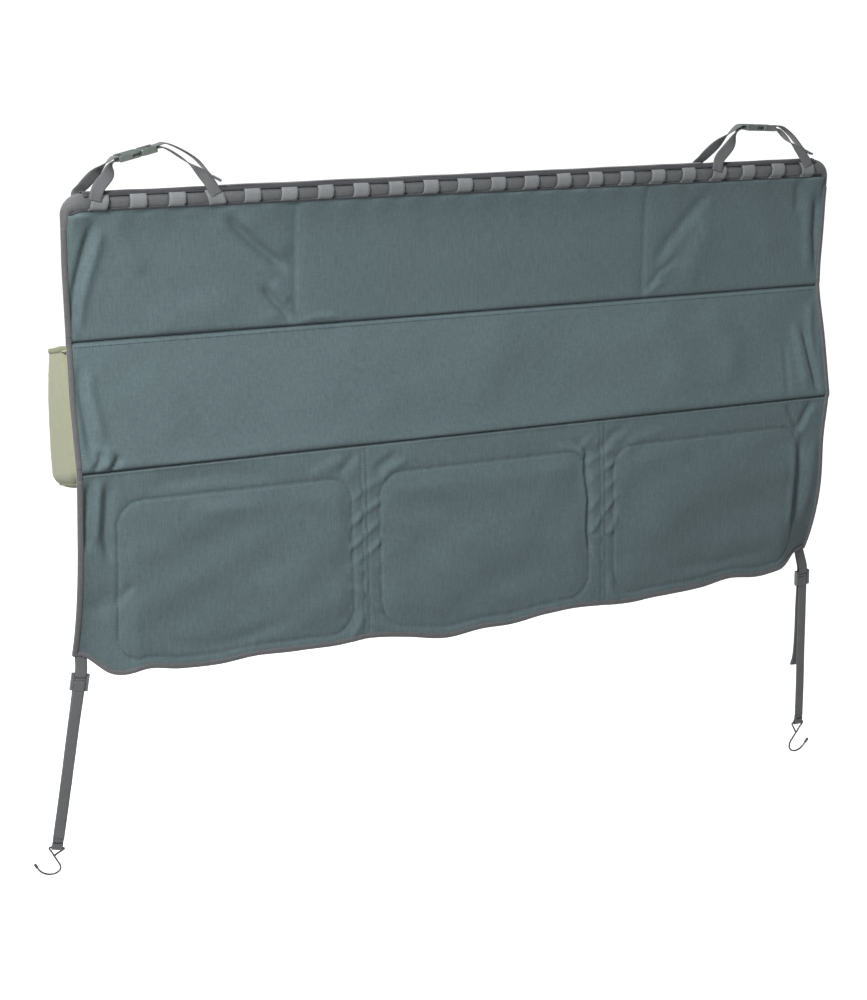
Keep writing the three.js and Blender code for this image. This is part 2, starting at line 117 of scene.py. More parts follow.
lower_length = seam2[2] - hem_z
middle_down = (seam2 - seam1) / np.linalg.norm(seam2 - seam1)
middle_length = np.linalg.norm(seam2 - seam1)
upper_length = cloth_top - seam1[2]

pouch_top, pouch_bottom = 7.0, middle_length + 21
pouch_near = 5.8
pouch_reach = half_width - 1.5
pouch_corner = 20
pouch_foot = 24
pouch_wall_rows = 34


# ---- Camera, floor and light ----

def add_camera():
    """The photograph's view: from the left and above, with the camera leaning a little."""
    data = bpy.data.cameras.new("camera")
    data.lens = 81
    data.sensor_width = 36
    camera = bpy.data.objects.new("camera", data)
    from_left, from_above, lean = (math.radians(a) for a in (28.146, 14.364, 0.668))
    turn = (Matrix.Rotation(-from_left, 4, "Z") @ Matrix.Rotation(math.pi / 2 - from_above, 4, "X")
            @ Matrix.Rotation(lean, 4, "Z"))
    camera.matrix_world = Matrix.Translation((-1.6427, -2.9447, 0.3163)) @ turn
    bpy.context.scene.collection.objects.link(camera)
    bpy.context.scene.camera = camera


def add_light(name, place, aim, size, power, colour=(1, 1, 1)):
    data = bpy.data.lights.new(name, "AREA")
    data.shape = "DISK"
    data.size = size
    data.energy = power
    data.color = colour
    light = bpy.data.objects.new(name, data)
    light.location = place
    light.rotation_mode = "QUATERNION"
    light.rotation_quaternion = (Vector(aim) - Vector(place)).to_track_quat("-Z", "Y")
    bpy.context.scene.collection.objects.link(light)


def add_stage():
    """A pale floor and soft light, stronger from the left. The floor is seen but lights nothing."""
    floor_z = cad_box[0].z - 0.25
    reach = 150
    mesh = bpy.data.meshes.new("floor")
    corners = [(-reach, -reach), (reach, -reach), (reach, reach), (-reach, reach)]
    mesh.from_pydata([(x, y, floor_z) for x, y in corners], [], [(0, 1, 2, 3)])
    floor = bpy.data.objects.new("floor", mesh)
    floor.visible_diffuse = False
    bpy.context.scene.collection.objects.link(floor)
    look = Look("floor")
    look.set(look.shader, Base_Color=(0.8, 0.8, 0.795, 1), Roughness=0.9,
             Emission_Color=(1, 1, 1, 1), Emission_Strength=0.92)
    mesh.materials.append(look.material)
    world = bpy.data.worlds.new("world")
    world.use_nodes = True
    n = Nodes(world.node_tree)
    direction = n.node("ShaderNodeTexCoord").outputs["Generated"]
    sideways = n.node("ShaderNodeSeparateXYZ", Vector=direction).outputs[0]
    soft = n.spread(sideways, -1, 1, 0.34, 0.08)
    seen = n.node("ShaderNodeLightPath").outputs["Is Camera Ray"]
    n.set(world.node_tree.nodes["Background"], Color=(1, 1, 1, 1),
          Strength=n.math("ADD", soft, n.math("MULTIPLY", seen, 1.1)))
    bpy.context.scene.world = world
    add_light("key", (-2.1, -1.7, 1.35), (-0.1, 0, -0.35), 0.8, 92, (1, 0.99, 0.97))
    add_light("top", (0.3, -0.5, 2.2), (0, 0, -0.4), 1.0, 16)
    add_light("rim", (-1.8, 2.2, 1.6), (0, 0, -0.4), 1.4, 60)
    bpy.context.scene.view_settings.view_transform = "Standard"


# ---- Materials ----

class Nodes:
    """Short names for building nodes."""

    def __init__(self, tree):
        self.tree = tree

    def feed(self, node, socket, value):
        if isinstance(value, bpy.types.NodeSocket):
            self.tree.links.new(value, node.inputs[socket])
        else:
            node.inputs[socket].default_value = value

    def set(self, node, **sockets):
        for key, value in sockets.items():
            self.feed(node, key.replace("_", " "), value)
        return node

    def node(self, kind, **sockets):
        return self.set(self.tree.nodes.new(kind), **sockets)

    def noise(self, vector, scale, detail=2, rough=0.5):
        made = self.node("ShaderNodeTexNoise", Vector=vector, Scale=scale, Detail=detail,
                         Roughness=rough)
        return made.outputs["Factor"] if "Factor" in made.outputs else made.outputs["Fac"]

    def stretched(self, vector, scale):
        return self.node("ShaderNodeMapping", Vector=vector, Scale=scale).outputs["Vector"]

    def math(self, what, *values):
        made = self.tree.nodes.new("ShaderNodeMath")
        made.operation = what
        for i, value in enumerate(values):
            self.feed(made, i, value)
        return made.outputs[0]

    def total(self, *parts):
        """The sum of values, each times its weight."""
        out = 0.0
        for value, weight in parts:
            out = self.math("MULTIPLY_ADD", value, weight, out)
        return out

    def spread(self, value, low, high, out_low=0.0, out_high=1.0):
        made = self.node("ShaderNodeMapRange", Value=value)
        for i, number in enumerate((low, high, out_low, out_high), 1):
            made.inputs[i].default_value = number
        return made.outputs[0]

    def wave(self, vector, axis, pitch):
        """A smooth wave from 0 to 1 along an axis of the vector, one beat each pitch."""
        parts = self.node("ShaderNodeSeparateXYZ", Vector=vector)
        turned = self.math("MULTIPLY", parts.outputs[axis], 2 * math.pi / pitch)
        return self.math("MULTIPLY_ADD", self.math("SINE", turned), 0.5, 0.5)

    def mix(self, factor, dark, light):
        """From a dark to a light screen colour."""
        made = self.tree.nodes.new("ShaderNodeMix")
        made.data_type = "RGBA"
        self.feed(made, 0, factor)
        self.feed(made, 6, linear(dark))
        self.feed(made, 7, linear(light))
        return made.outputs[2]


def linear(screen):
    """A screen colour from 0 to 255 as the linear colour that shaders take."""
    parts = [c / 255 for c in screen]
    return (*(c / 12.92 if c < 0.04045 else ((c + 0.055) / 1.055) ** 2.4 for c in parts), 1)


class Look(Nodes):
    """A material's nodes, its shader and the place that its patterns are worked out from."""

    def __init__(self, name):
        self.material = bpy.data.materials.new(name)
        self.material.use_nodes = True
        super().__init__(self.material.node_tree)
        self.shader = self.tree.nodes["Principled BSDF"]
        self.place = self.node("ShaderNodeTexCoord").outputs["Object"]

    def finish(self, colour, roughness, height, strength, distance, **sockets):
        """Feeds the shader its colour, roughness and relief, and sets its other sockets."""
        relief = self.node("ShaderNodeBump", Height=height, Strength=strength, Distance=distance)
        self.set(self.shader, Base_Color=colour, Roughness=roughness,
                 Normal=relief.outputs["Normal"], **sockets)
        return self.material


def cloth_material(name, dark, light, streak=0.5, sheen=0.12, roughness=0.78):
    """Heathered plain weave: uneven vertical yarns, a fine grid of threads, and soft fading."""
    n = Look(name)
    warp = n.noise(n.stretched(n.place, (420, 420, 60)), 1.0, 3, 0.65)
    weft = n.noise(n.stretched(n.place, (90, 90, 520)), 1.0, 2, 0.6)
    specks = n.noise(n.place, 900, 1, 0.5)
    patches = n.noise(n.place, 6, 3, 0.55)
    weights = (streak, 0.25, 0.15, 0.18)
    tone = n.total(*zip((warp, weft, specks, patches), weights))
    middle, contrast = sum(weights) / 2, 0.21
    grid = n.math("MULTIPLY", n.wave(n.place, 0, thread_pitch), n.wave(n.place, 2, thread_pitch))
    return n.finish(n.mix(n.spread(tone, middle - contrast, middle + contrast), dark, light),
                    n.spread(patches, 0.3, 0.7, roughness - 0.06, roughness + 0.06),
                    n.total((grid, 0.5), (warp, 0.8)), 0.35, 0.0004,
                    Sheen_Weight=sheen, Sheen_Roughness=0.45, Specular_IOR_Level=0.3)


def webbing_material(name, dark, light):
    """Woven tape: ribs along its length and a fine cross rib, from its own width and length."""
    n = Look(name)
    along = n.node("ShaderNodeTexCoord").outputs["UV"]
    crosswise = n.wave(along, 1, 0.0016)
    weave = n.math("MULTIPLY", n.wave(along, 0, 0.0027),
                   n.math("MULTIPLY_ADD", crosswise, 0.5, 0.5))
    fleck = n.noise(n.place, 700, 2, 0.6)
    worn = n.noise(n.place, 28, 2, 0.5)
    tone = n.total((weave, 0.22), (fleck, 0.42), (worn, 0.3))
    return n.finish(n.mix(n.spread(tone, 0.25, 0.85), dark, light),
                    n.spread(weave, 0, 1, 0.72, 0.58), n.total((weave, 1), (fleck, 0.4)),
                    0.4, 0.00025, Sheen_Weight=0.2, Specular_IOR_Level=0.35)


def plastic_material(name, dark, light):
    """Moulded acetal with a faint grain and scuffed, slightly lighter patches."""
    n = Look(name)
    scuffs = n.noise(n.place, 90, 4, 0.7)
    return n.finish(n.mix(n.spread(scuffs, 0.35, 0.75), dark, light),
                    n.spread(scuffs, 0.3, 0.8, 0.28, 0.46), n.noise(n.place, 1600, 2, 0.6),
                    0.15, 0.0002, Specular_IOR_Level=0.5)


def metal_material(name, colour, worn, roughness=0.3):
    """Drawn wire and plated metal, dulled in spots."""
    n = Look(name)
    spots = n.noise(n.place, 240, 4, 0.65)
    return n.finish(n.mix(n.spread(spots, 0.4, 0.7), colour, worn),
                    n.spread(spots, 0.3, 0.7, roughness, roughness + 0.15), spots,
                    0.1, 0.0002, Metallic=0.9)


def distances(path):
    """How far along a path each of its points lies."""
    return np.concatenate([[0], np.cumsum(np.linalg.norm(np.diff(path, axis=0), axis=1))])


slate = cloth_material("slate_cloth", (79, 96, 101), (107, 125, 129))
sage = cloth_material("sage_cloth", (146, 149, 124), (170, 173, 149), 0.3)
trim = cloth_material("trim_cloth", (80, 82, 85), (110, 112, 114), 0.4, 0.3, 0.62)
loop_tape = webbing_material("loop_webbing", (112, 116, 119), (150, 154, 156))
strap_tape = webbing_material("strap_webbing", (86, 88, 91), (122, 124, 128))
thread = cloth_material("thread", (40, 49, 54), (66, 77, 83))
plastic = plastic_material("buckle_plastic", (84, 94, 90), (112, 121, 117))
steel = metal_material("hook_steel", (66, 68, 70), (96, 97, 99))
silver = metal_material("zip_metal", (120, 122, 124), (160, 161, 163), 0.35)
dark_cloth = cloth_material("dark_cloth", (48, 49, 53), (74, 75, 80), 0.4, 0.2)
tape_cloth = cloth_material("tape_cloth", (82, 84, 87), (112, 114, 117), 0.4, 0.3)
sage_tape = cloth_material("sage_tape", (120, 122, 96), (148, 150, 124), 0.3, 0.2)
grey_plastic = plastic_material("lock_plastic", (84, 86, 88), (108, 110, 112))
rubber = plastic_material("tip_plastic", (40, 42, 43), (56, 58, 59))


# ---- Mesh helpers ----

def make(name, points, faces, material, uvs=None):
    mesh = bpy.data.meshes.new(name)
    mesh.from_pydata((np.asarray(points, float) * MM).tolist(), [], faces)
    mesh.materials.append(material)
    if uvs is not None:
        layer = mesh.uv_layers.new(name="UVMap")
        corners = np.zeros(len(mesh.loops), np.int32)
        mesh.loops.foreach_get("vertex_index", corners)
        layer.data.foreach_set("uv", (np.asarray(uvs, float)[corners] * MM).ravel())
    mesh.shade_smooth()
    made = bpy.data.objects.new(name, mesh)
    bpy.context.scene.collection.objects.link(made)
    return made


def grid_faces(rows, columns, start=0, flip=False):
    at = start + np.arange(rows * columns).reshape(rows, columns)
    quads = np.stack([at[:-1, :-1], at[1:, :-1], at[1:, 1:], at[:-1, 1:]], -1).reshape(-1, 4)
    return (quads[:, ::-1] if flip else quads).tolist()


def shell(name, front, back, material):
    """A thin closed sheet between a front grid and a back grid of points."""
    rows, columns = front.shape[:2]
    size = rows * columns
    faces = grid_faces(rows, columns) + grid_faces(rows, columns, size, True)
    at = np.arange(size).reshape(rows, columns)
    rim = np.concatenate([at[0, :-1], at[:-1, -1], at[-1, :0:-1], at[:0:-1, 0]])
    ahead = np.roll(rim, -1)
    faces += np.stack([rim, ahead, ahead + size, rim + size], -1).tolist()
    return make(name, np.concatenate([front.reshape(-1, 3), back.reshape(-1, 3)]), faces, material)


def smooth_path(points, steps):
    """Points spread along a smooth curve through the given ones."""
    p = np.asarray(points, float)
    p = np.vstack([2 * p[0] - p[1], p, 2 * p[-1] - p[-2]])
    knots = np.concatenate([[0], np.cumsum(np.linalg.norm(np.diff(p, axis=0), axis=1) ** 0.5)])

    def between(a, b, low, high):
        return ((high - t) * a + (t - low) * b) / (high - low)
    out = []
    for t in np.linspace(knots[1], knots[-2], steps + 1):
        i = int(np.clip(np.searchsorted(knots, t) - 1, 1, len(p) - 3))
        t0, t1, t2, t3 = knots[i - 1:i + 3]
        p0, p1, p2, p3 = p[i - 1:i + 3]
        middle = between(p1, p2, t1, t2)
        before = between(between(p0, p1, t0, t1), middle, t0, t2)
        after = between(middle, between(p2, p3, t2, t3), t1, t3)
        out.append(between(before, after, t1, t2))
    return np.array(out)


def unit(v):
    return v / np.maximum(np.linalg.norm(v, axis=-1, keepdims=True), 1e-9)


def ring_faces(rings, count, start=0):
    """Quads between rings of points that follow each other."""
    a = start + np.arange((rings - 1) * count).reshape(-1, count)
    b = np.roll(a, -1, axis=1)
    return np.stack([a, b, b + count, a + count], -1).reshape(-1, 4).tolist()


def tube_faces(rings, count):
    """The faces of a tube of rings, with both of its ends."""
    size = rings * count
    ends = [list(range(count))[::-1], list(range(size - count, size))]
    return ring_faces(rings, count) + ends


def sweep(name, path, side, section, material):
    """A closed tube: section's (across, out) points carried along a path, across lying along side.
    section is one outline, or one for each point of the path."""
    tangent = unit(np.gradient(path, axis=0))
    side = np.broadcast_to(np.asarray(side, float), path.shape)
    side = unit(side - (side * tangent).sum(1, keepdims=True) * tangent)
    out = np.cross(tangent, side)
    section = np.asarray(section, float)
    if section.ndim == 2:
        section = np.broadcast_to(section, (len(path), *section.shape))
    points = path[:, None] + section[..., :1] * side[:, None] + section[..., 1:] * out[:, None]
    along = np.broadcast_to(distances(path)[:, None], section.shape[:2])
    uvs = np.stack([section[..., 0], along], -1)
    return make(name, points.reshape(-1, 3), tube_faces(*section.shape[:2]), material,
                uvs.reshape(-1, 2))


def tape_section(width, thickness, curl=0.0):
    """A flat tape's outline, with round edges and a shallow curl across its width."""
    half, r = width / 2, thickness / 2
    across = np.linspace(-half + r, half - r, 7)
    bow = curl * (1 - (across / half) ** 2)
    top = np.stack([across, bow + r], -1)
    bottom = np.stack([across[::-1], bow[::-1] - r], -1)
    return np.concatenate([bottom[-1:], [[-half, 0]], top, [[half, 0]], bottom[:-1]])


def oval(a, b, count=16, power=1.0):
    t = np.linspace(0, 2 * math.pi, count, endpoint=False)
    c, s = np.cos(t), np.sin(t)
    return np.stack([a * np.sign(c) * abs(c) ** power, b * np.sign(s) * abs(s) ** power], -1)


def joined(name, parts):
    """Joins meshes into one piece."""
    with bpy.context.temp_override(active_object=parts[0], selected_editable_objects=parts):
        bpy.ops.object.join()
    parts[0].name = name
    return parts[0]


def ride(piece, body, slot, *nodes):
    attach(piece, body)
    if nodes:
        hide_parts(*nodes)
    return piece


# ---- Shape functions: each takes arrays of millimetres and gives a height towards the viewer ----

def smoothstep(x, a, b):
    t = np.clip((x - a) / (b - a), 0, 1)
    return t * t * (3 - 2 * t)


def noise(x, y, size_x, size_y, seed):
    """Smooth seeded noise from -1 to 1."""
    table = np.random.default_rng(seed).uniform(-1, 1, (256, 256))
    u, v = x / size_x + 64.3, y / size_y + 64.7
    i, j = np.floor(u).astype(int), np.floor(v).astype(int)
    f, g = u - i, v - j
    f, g = f * f * (3 - 2 * f), g * g * (3 - 2 * g)
    i, j = i % 255, j % 255
    low = table[i, j] * (1 - f) + table[i + 1, j] * f
    high = table[i, j + 1] * (1 - f) + table[i + 1, j + 1] * f
    return low * (1 - g) + high * g


def bell(distance, width):
    return np.exp(-(distance / width) ** 2)


def fold(x, v, points, width, depth, shear=0.0):
    """A fold along a bent line: depth towards the viewer, fading at its ends. With shear it is
    a ridge with a valley beside it."""
    best, across, share = np.full(x.shape, 1e9), np.zeros(x.shape), np.zeros(x.shape)
    ends = distances(np.array(points, float))
    for (x0, v0), (x1, v1), start, end in zip(points, points[1:], ends, ends[1:]):
        length = end - start
        tx, tv = (x1 - x0) / length, (v1 - v0) / length
        t = (x - x0) * tx + (v - v0) * tv
        s = (x - x0) * -tv + (v - v0) * tx
        near = np.hypot(t - np.clip(t, 0, length), s)
        closer = near < best
        best = np.where(closer, near, best)
        across = np.where(closer, s, across)
        share = np.where(closer, (start + np.clip(t, 0, length)) / ends[-1], share)
    fade = smoothstep(share, 0, 0.25) * smoothstep(1 - share, 0, 0.25)
    return fade * (depth * bell(best, width) + shear * (across / width) * bell(best, 1.3 * width))


def creases(x, v, folds):
    return sum(fold(x, v, *one) for one in folds)


def rounded_distance(x, v, centre_x, centre_v, half, corner):
    """How far a point lies outside a rounded rectangle; negative inside."""
    dx = abs(x - centre_x) - (half[0] - corner)
    dv = abs(v - centre_v) - (half[1] - corner)
    outside = np.hypot(np.maximum(dx, 0), np.maximum(dv, 0))
    return outside + np.minimum(np.maximum(dx, dv), 0) - corner


# ---- Cloth sections ----

def edge_sway(v, section):
    """How far a side edge moves in, down its length."""
    if section == "upper":
        return 3 * smoothstep(v / upper_length, 0.3, 1)
    if section == "middle":
        return 3 * (1 - smoothstep(v / middle_length, 0, 0.5))
    return 0 * v


upper_folds = [
    ([(-606, 2), (-618, 50), (-638, 120), (-643, 170)], 7, -7, 4),
    ([(-590, 0), (-602, 50), (-626, 120), (-634, 170)], 9, 5.5, 0),
    ([(-585, 8), (-560, 40), (-525, 90)], 15, 3, 1),
    ([(-412, 4), (-360, 52), (-306, 96)], 7, -6.0, -5.4),
    ([(-392, 4), (-346, 44), (-302, 74)], 14, 4.4, 0),
    ([(-452, 4), (-392, 66), (-322, 120)], 18, 2.6, -1.6),
    ([(-352, 112), (-326, 140), (-300, 172)], 6, -5.2, -4.4),
    ([(-336, 108), (-308, 142)], 9, 2.6, 0),
    ([(-540, 150), (-450, 140), (-380, 122)], 24, 2.2, 1.6),
    ([(-298, 172), (-262, 164), (-225, 166)], 4, 1.8, 1.2),
    ([(-302, 168), (-330, 160), (-352, 163)], 5, 1.4, 0.8),
    ([(316, 136), (350, 90), (428, 8)], 10, -3, 2.4),
    ([(306, 170), (330, 140), (372, 112)], 5, -2, 1.8),
    ([(300, 176), (322, 158), (348, 150)], 4, 1.6, 1),
    ([(372, 165), (396, 110), (425, 40)], 20, 2.8, 1.5),
    ([(455, 10), (520, 70), (560, 130)], 18, 1.8, -1.6),
    ([(628, 20), (630, 90), (643, 165)], 6, -5, 3.2),
    ([(612, 10), (615, 90), (626, 165)], 8, 3.6, 0),
    ([(586, 2), (592, 60)], 7, -2, 1.4),
]


def upper_height(x, v):
    up = upper_length - v
    h = 1.6 * noise(x, v, 190, 120, 3) + 0.7 * noise(x, v, 70, 60, 4)
    for side in (-1, 1):
        line = x - side * stitch_x
        h += -1.9 * bell(line, 1.9) - 1.4 * bell(line, 12)
    h += creases(x, v, upper_folds)
    # Small pleats under the sewn feet of the loops
    pleats = np.cos(2 * math.pi * x / loop_pitch + 1.2 * noise(x, 0 * x, 90, 1, 8))
    h += 0.9 * pleats * np.exp(-v / 16)
    # The cloth is sewn low on the front of the tube and falls back from it
    h += (8.6 + 4 * smoothstep(abs(x), 596, 624)) * np.exp(-(np.maximum(v, 0) / 26) ** 1.3)
    # A soft pucker along the fold seam
    h += 0.9 * noise(x, v, 24, 30, 5) * np.exp(-up / 12)
    return h + 2.2 * np.exp(-up / 18) * (1 - np.exp(-up / 3))


middle_folds = [
    ([(-612, 150), (-616, 168), (-630, 184)], 4.5, -6, 4),
    ([(-586, 158), (-592, 170), (-604, 184)], 4.5, -6, 4),
    ([(-600, 145), (-604, 165), (-616, 184)], 7, 4, 0),
    ([(-636, 20), (-636, 60), (-630, 128), (-628, 170)], 7, -5, 3.5),
    ([(-622, 30), (-618, 90), (-606, 150)], 9, 4, 0),
    ([(-540, 30), (-500, 90), (-480, 150)], 30, 2, 1.5),
    ([(-250, 20), (-190, 80), (-160, 150)], 34, 1.8, -1.8),
    ([(80, 20), (20, 90), (0, 160)], 36, 2, 1.8),
    ([(300, 30), (350, 90), (340, 160)], 30, 2, -1.6),
    ([(420, 10), (470, 80), (455, 160)], 22, 2, 1.6),
    ([(604, 60), (612, 110), (626, 182)], 5.5, -6, 4.5),
    ([(590, 50), (596, 110), (606, 180)], 8, 4, 0),
    ([(566, 80), (564, 184)], 5, -1.8, 1.2),
    ([(632, 20), (622, 70), (620, 120)], 7, 3, 1.5),
]


def middle_height(x, v):
    up = middle_length - v
    h = 2.8 * noise(x, v, 190, 110, 13) + 1.0 * noise(x + v, v, 75, 55, 14)
    h += creases(x, v, middle_folds)
    h += 0.8 * noise(x, v, 22, 26, 15) * (np.exp(-up / 12) + 0.6 * np.exp(-v / 12))
    return h + 3.0 * np.exp(-up / 18) * (1 - np.exp(-up / 3)) + 1.6 * np.exp(-v / 20)


lower_folds = [
    ([(-632, 6), (-636, 30), (-641, 70), (-640, 120)], 7, -7, 4.5),
    ([(-604, 4), (-608, 40), (-612, 90), (-604, 140)], 7, -5, 3.6),
    ([(-618, 4), (-622, 50), (-626, 110)], 7, 5, 0),
    ([(-630, 215), (-606, 190), (-592, 172)], 14, -3, 2),
    ([(-600, 200), (-580, 178), (-565, 165)], 6, -2, 1.6),
    ([(-560, 28), (-440, 22), (-340, 34)], 12, -2.6, 1.4),
    ([(-300, 36), (-235, 12)], 9, 1.6, 1.4),
    ([(-250, 42), (-215, 10)], 6, -1.8, 1.4),
    ([(-196, 40), (-150, 12)], 7, -1.8, -1.6),
    ([(-185, 62), (-170, 40), (-130, 24)], 6, 1.8, 1.4),
    ([(150, 16), (178, 48), (176, 80), (182, 120), (178, 170), (186, 226)], 4, -4, 3.2),
    ([(122, 30), (165, 44), (190, 20)], 6, 1.8, 1.6),
    ([(196, 60), (230, 26), (262, 14)], 7, -2, 1.8),
    ([(236, 66), (268, 34), (330, 26)], 8, 1.6, 1.4),
    ([(560, 6), (582, 40), (590, 60)], 6, -3.4, 2.6),
    ([(622, 4), (606, 30), (592, 60)], 7, -4.2, -3),
    ([(600, 50), (597, 120), (594, 180), (590, 235)], 8, -7, 4.5),
    ([(580, 60), (584, 130), (580, 235)], 9, 4, 0),
    ([(630, 60), (625, 140), (615, 230)], 10, 3.5, 0),
    ([(-560, 250), (-420, 262), (-300, 238)], 10, -2.4, 1.8),
    ([(330, 246), (450, 258), (560, 244)], 9, -2, 1.6),
    ([(-240, 284), (-222, 262), (-216, 240)], 6, 2, 1.6),
    ([(240, 284), (226, 262), (220, 240)], 6, 2, -1.6),
]


def lower_height(x, v):
    h = 1.2 * noise(x, v, 150, 120, 23) + 0.6 * noise(x, v, 60, 50, 24)
    for i, centre_x in enumerate((-pad_pitch, 0, pad_pitch)):
        out = rounded_distance(x, v, centre_x, pad_v, pad_half, pad_corner)
        inside = smoothstep(-out, 0, 30)
        h += -2.2 * bell(out, 1.7) - 0.6 * bell(out, 7) + 2.0 * inside
        h += inside * (3.2 * noise(x + 0.6 * v, v, 90, 52, 31 + i)
                       + 1.2 * noise(x - 0.8 * v, v, 44, 30, 41 + i))
        # Short puckers square to the stitching
        along = np.where(abs(x - centre_x) > pad_half[0] - 20, v, x)
        h += 0.7 * np.exp(-abs(out) / 9) * noise(along, 0 * x + 50 * i, 9, 1, 51 + i)
    between = sum(divider_x) / 2
    for side in (-1, 1):
        for line_x in divider_x:
            h += -1.4 * bell(x - side * line_x, 2.0)
        # Slanting puckers between the divider and the compartments beside it
        off = x - side * between
        band = smoothstep(abs(off), 0, 4) * (1 - smoothstep(abs(off), 22, 30))
        slant = v + 0.7 * off * np.sign(noise(0 * x, v, 1, 90, 62) + 0.2)
        slant = slant + 17 * noise(x, v, 50, 60, 61)
        beat = 0.5 + 0.5 * np.cos(2 * math.pi * slant / 31)
        fade = smoothstep(v, 20, 60) * (1 - smoothstep(v, 255, 285))
        h += band * fade * (2.7 * beat ** 3 - 0.7) * (0.85 + 0.5 * noise(x, v, 26, 34, 63))
    h += creases(x, v, lower_folds)
    h += 0.8 * noise(x, v, 20, 24, 25) * np.exp(-v / 12)
    return h - 1.4 * np.exp(-v / 10)


def lower_front(x, v):
    """How far the lower cloth stands from its seam's plane, towards +Y."""
    down = v / lower_length
    out = smoothstep(abs(x), 204, half_width)
    corner = smoothstep(abs(x), 560, half_width)
    return (-20 + 26 * out) * down + 38 * corner * down ** 3


def hem_drop(x):
    """How far the hem hangs below its straight line: waves, and corners that lift."""
    waves = 5 * np.sin(x / 62 + 0.8) + 3.5 * noise(x, 0 * x, 60, 1, 71)
    for middle, spread, deep in ((-500, 75, 15), (-85, 100, 18), (245, 75, 13), (455, 65, -8)):
        waves = waves + deep * bell(x - middle, spread)
    inner = 1 - smoothstep(abs(x), 500, 580)
    low = 8 + 11 * bell(x + 588, 30) + 6 * bell(x - 580, 25)
    lift = np.where(x < 0, 19 * smoothstep(-x, 596, 640), 24 * smoothstep(x, 530, 625))
    return waves * inner + low - lift


def section_points(section, x, v):
    """Points of the panel's middle surface, and the direction towards the viewer."""
    facing = np.array([0, -1.0, 0])
    if section == "upper":
        points = np.stack([x, 0 * x, cloth_top - v], -1)
    elif section == "middle":
        points = middle_at(x, 0, v)
        facing = np.array([0, middle_down[2], -middle_down[1]])
    else:
        drop = hem_drop(x) * (v / lower_length) ** 3
        points = np.stack([x, seam2[1] + lower_front(x, v), seam2[2] - v - drop], -1)
        points[..., 0] -= 6 * bell(v - 70, 60) * smoothstep(x, 560, half_width)
    points[..., 0] -= np.sign(x) * edge_sway(v, section) * smoothstep(abs(x), 560, half_width)
    return points, facing


heights = {"upper": upper_height, "middle": middle_height, "lower": lower_height}
lengths = {"upper": upper_length, "middle": middle_length, "lower": lower_length}


def side_calm(x):
    """Wrinkles die out where the side bindings hold the cloth."""
    return 1 - 0.7 * smoothstep(abs(x), half_width - 16, half_width - 4)


def surface(section, x, v, proud=0.0):
    """Points on the wrinkled cloth, proud of its middle surface."""
    x, v = np.broadcast_arrays(np.asarray(x, float), np.asarray(v, float))
    points, facing = section_points(section, x, v)
    height = heights[section](x, v) * side_calm(x)
    if section != "lower":
        height = height * smoothstep(lengths[section] - v, 0, 8)
    if section != "upper":
        height = height * smoothstep(v, 0, 8)
    return points + (height + proud)[..., None] * facing


def cloth(section, v0, v1, step):
    """A section's cloth. The upper one's top edge goes on up round the tube's front."""
    columns, rows = int((2 * half_width - 8) / step), max(2, int((v1 - v0) / step))
    v, x = np.meshgrid(np.linspace(v0, v1, rows),
                       np.linspace(4 - half_width, half_width - 4, columns), indexing="ij")
    front, back = (surface(section, x, v, proud) for proud in (cloth_half, -cloth_half))
    if section == "upper":
        front = np.concatenate([lip(x[:5], front[0], 2.4), front])
        back = np.concatenate([lip(x[:5], back[0], -0.9), back])
    return shell(section + "_cloth", front, back, slate)


def lip_angle(x):
    """The angle round the tube at which the upper cloth's top edge is sewn to its front."""
    return 212 + 20 * smoothstep(x, -400, 600)


def round_tube(x, radius, degrees):
    angle = np.radians(degrees)
    return np.stack([x, radius * np.cos(angle), tube_z + radius * np.sin(angle)], -1)


def tube_front(x, radius, degrees):
    """Points on the tube's front. At its ends they go down and back with its bend."""
    bend = smoothstep(abs(x), half_width - 26, half_width - 5)
    points = round_tube(x, radius, degrees)
    points[..., 1] *= 1 - 0.6 * bend
    points[..., 2] -= 8 * bend
    return points


def lip(x, first, proud):
    """Rows of the upper cloth's top edge, which is sewn up round the front of the tube."""
    share = np.linspace(1, 0, len(x) + 1)[:-1, None]
    rows = tube_front(x, tube_radius + proud, 242 + (lip_angle(x) - 242) * share)
    offset = first - tube_front(x[0], tube_radius + proud, 242 + 0 * x[0])
    return rows + offset * (1 - share[..., None]) ** 2


def stitches(name, section, lines, pitch=4.2, proud=1.6):
    """Rows of thread stitches lying on the cloth. Each line is an array of (x, v) points."""
    knots = []
    outward = np.array([0, -1.0, 0])
    for line in lines:
        along = distances(line)
        starts = (np.arange(int(along[-1] / pitch)) + 0.15) * pitch
        a, b = (np.stack([np.interp(s, along, line[:, k]) for k in (0, 1)], -1)
                for s in (starts, starts + 0.84 * pitch))
        first, middle, last = (surface(section, *p.T, proud) for p in (a, (a + b) / 2, b))
        across = 0.7 * unit(np.cross(unit(last - first), outward))
        knots.append(np.stack([first, middle + across, middle + 0.3 * outward, middle - across,
                               middle - 0.3 * outward, last], 1))
    points = np.concatenate(knots)
    corners = [(k + 1, (k + 1) % 4 + 1) for k in range(4)]
    one = np.array([face for i, j in corners for face in ((0, i, j), (5, j, i))])
    faces = one + 6 * np.arange(len(points))[:, None, None]
    return make(name, points.reshape(-1, 3), faces.reshape(-1, 3).tolist(), thread)


def straight(x0, v0, x1, v1, steps=60):
    t = np.linspace(0, 1, steps)[:, None]
    return np.array([[x0, v0]]) * (1 - t) + np.array([[x1, v1]]) * t


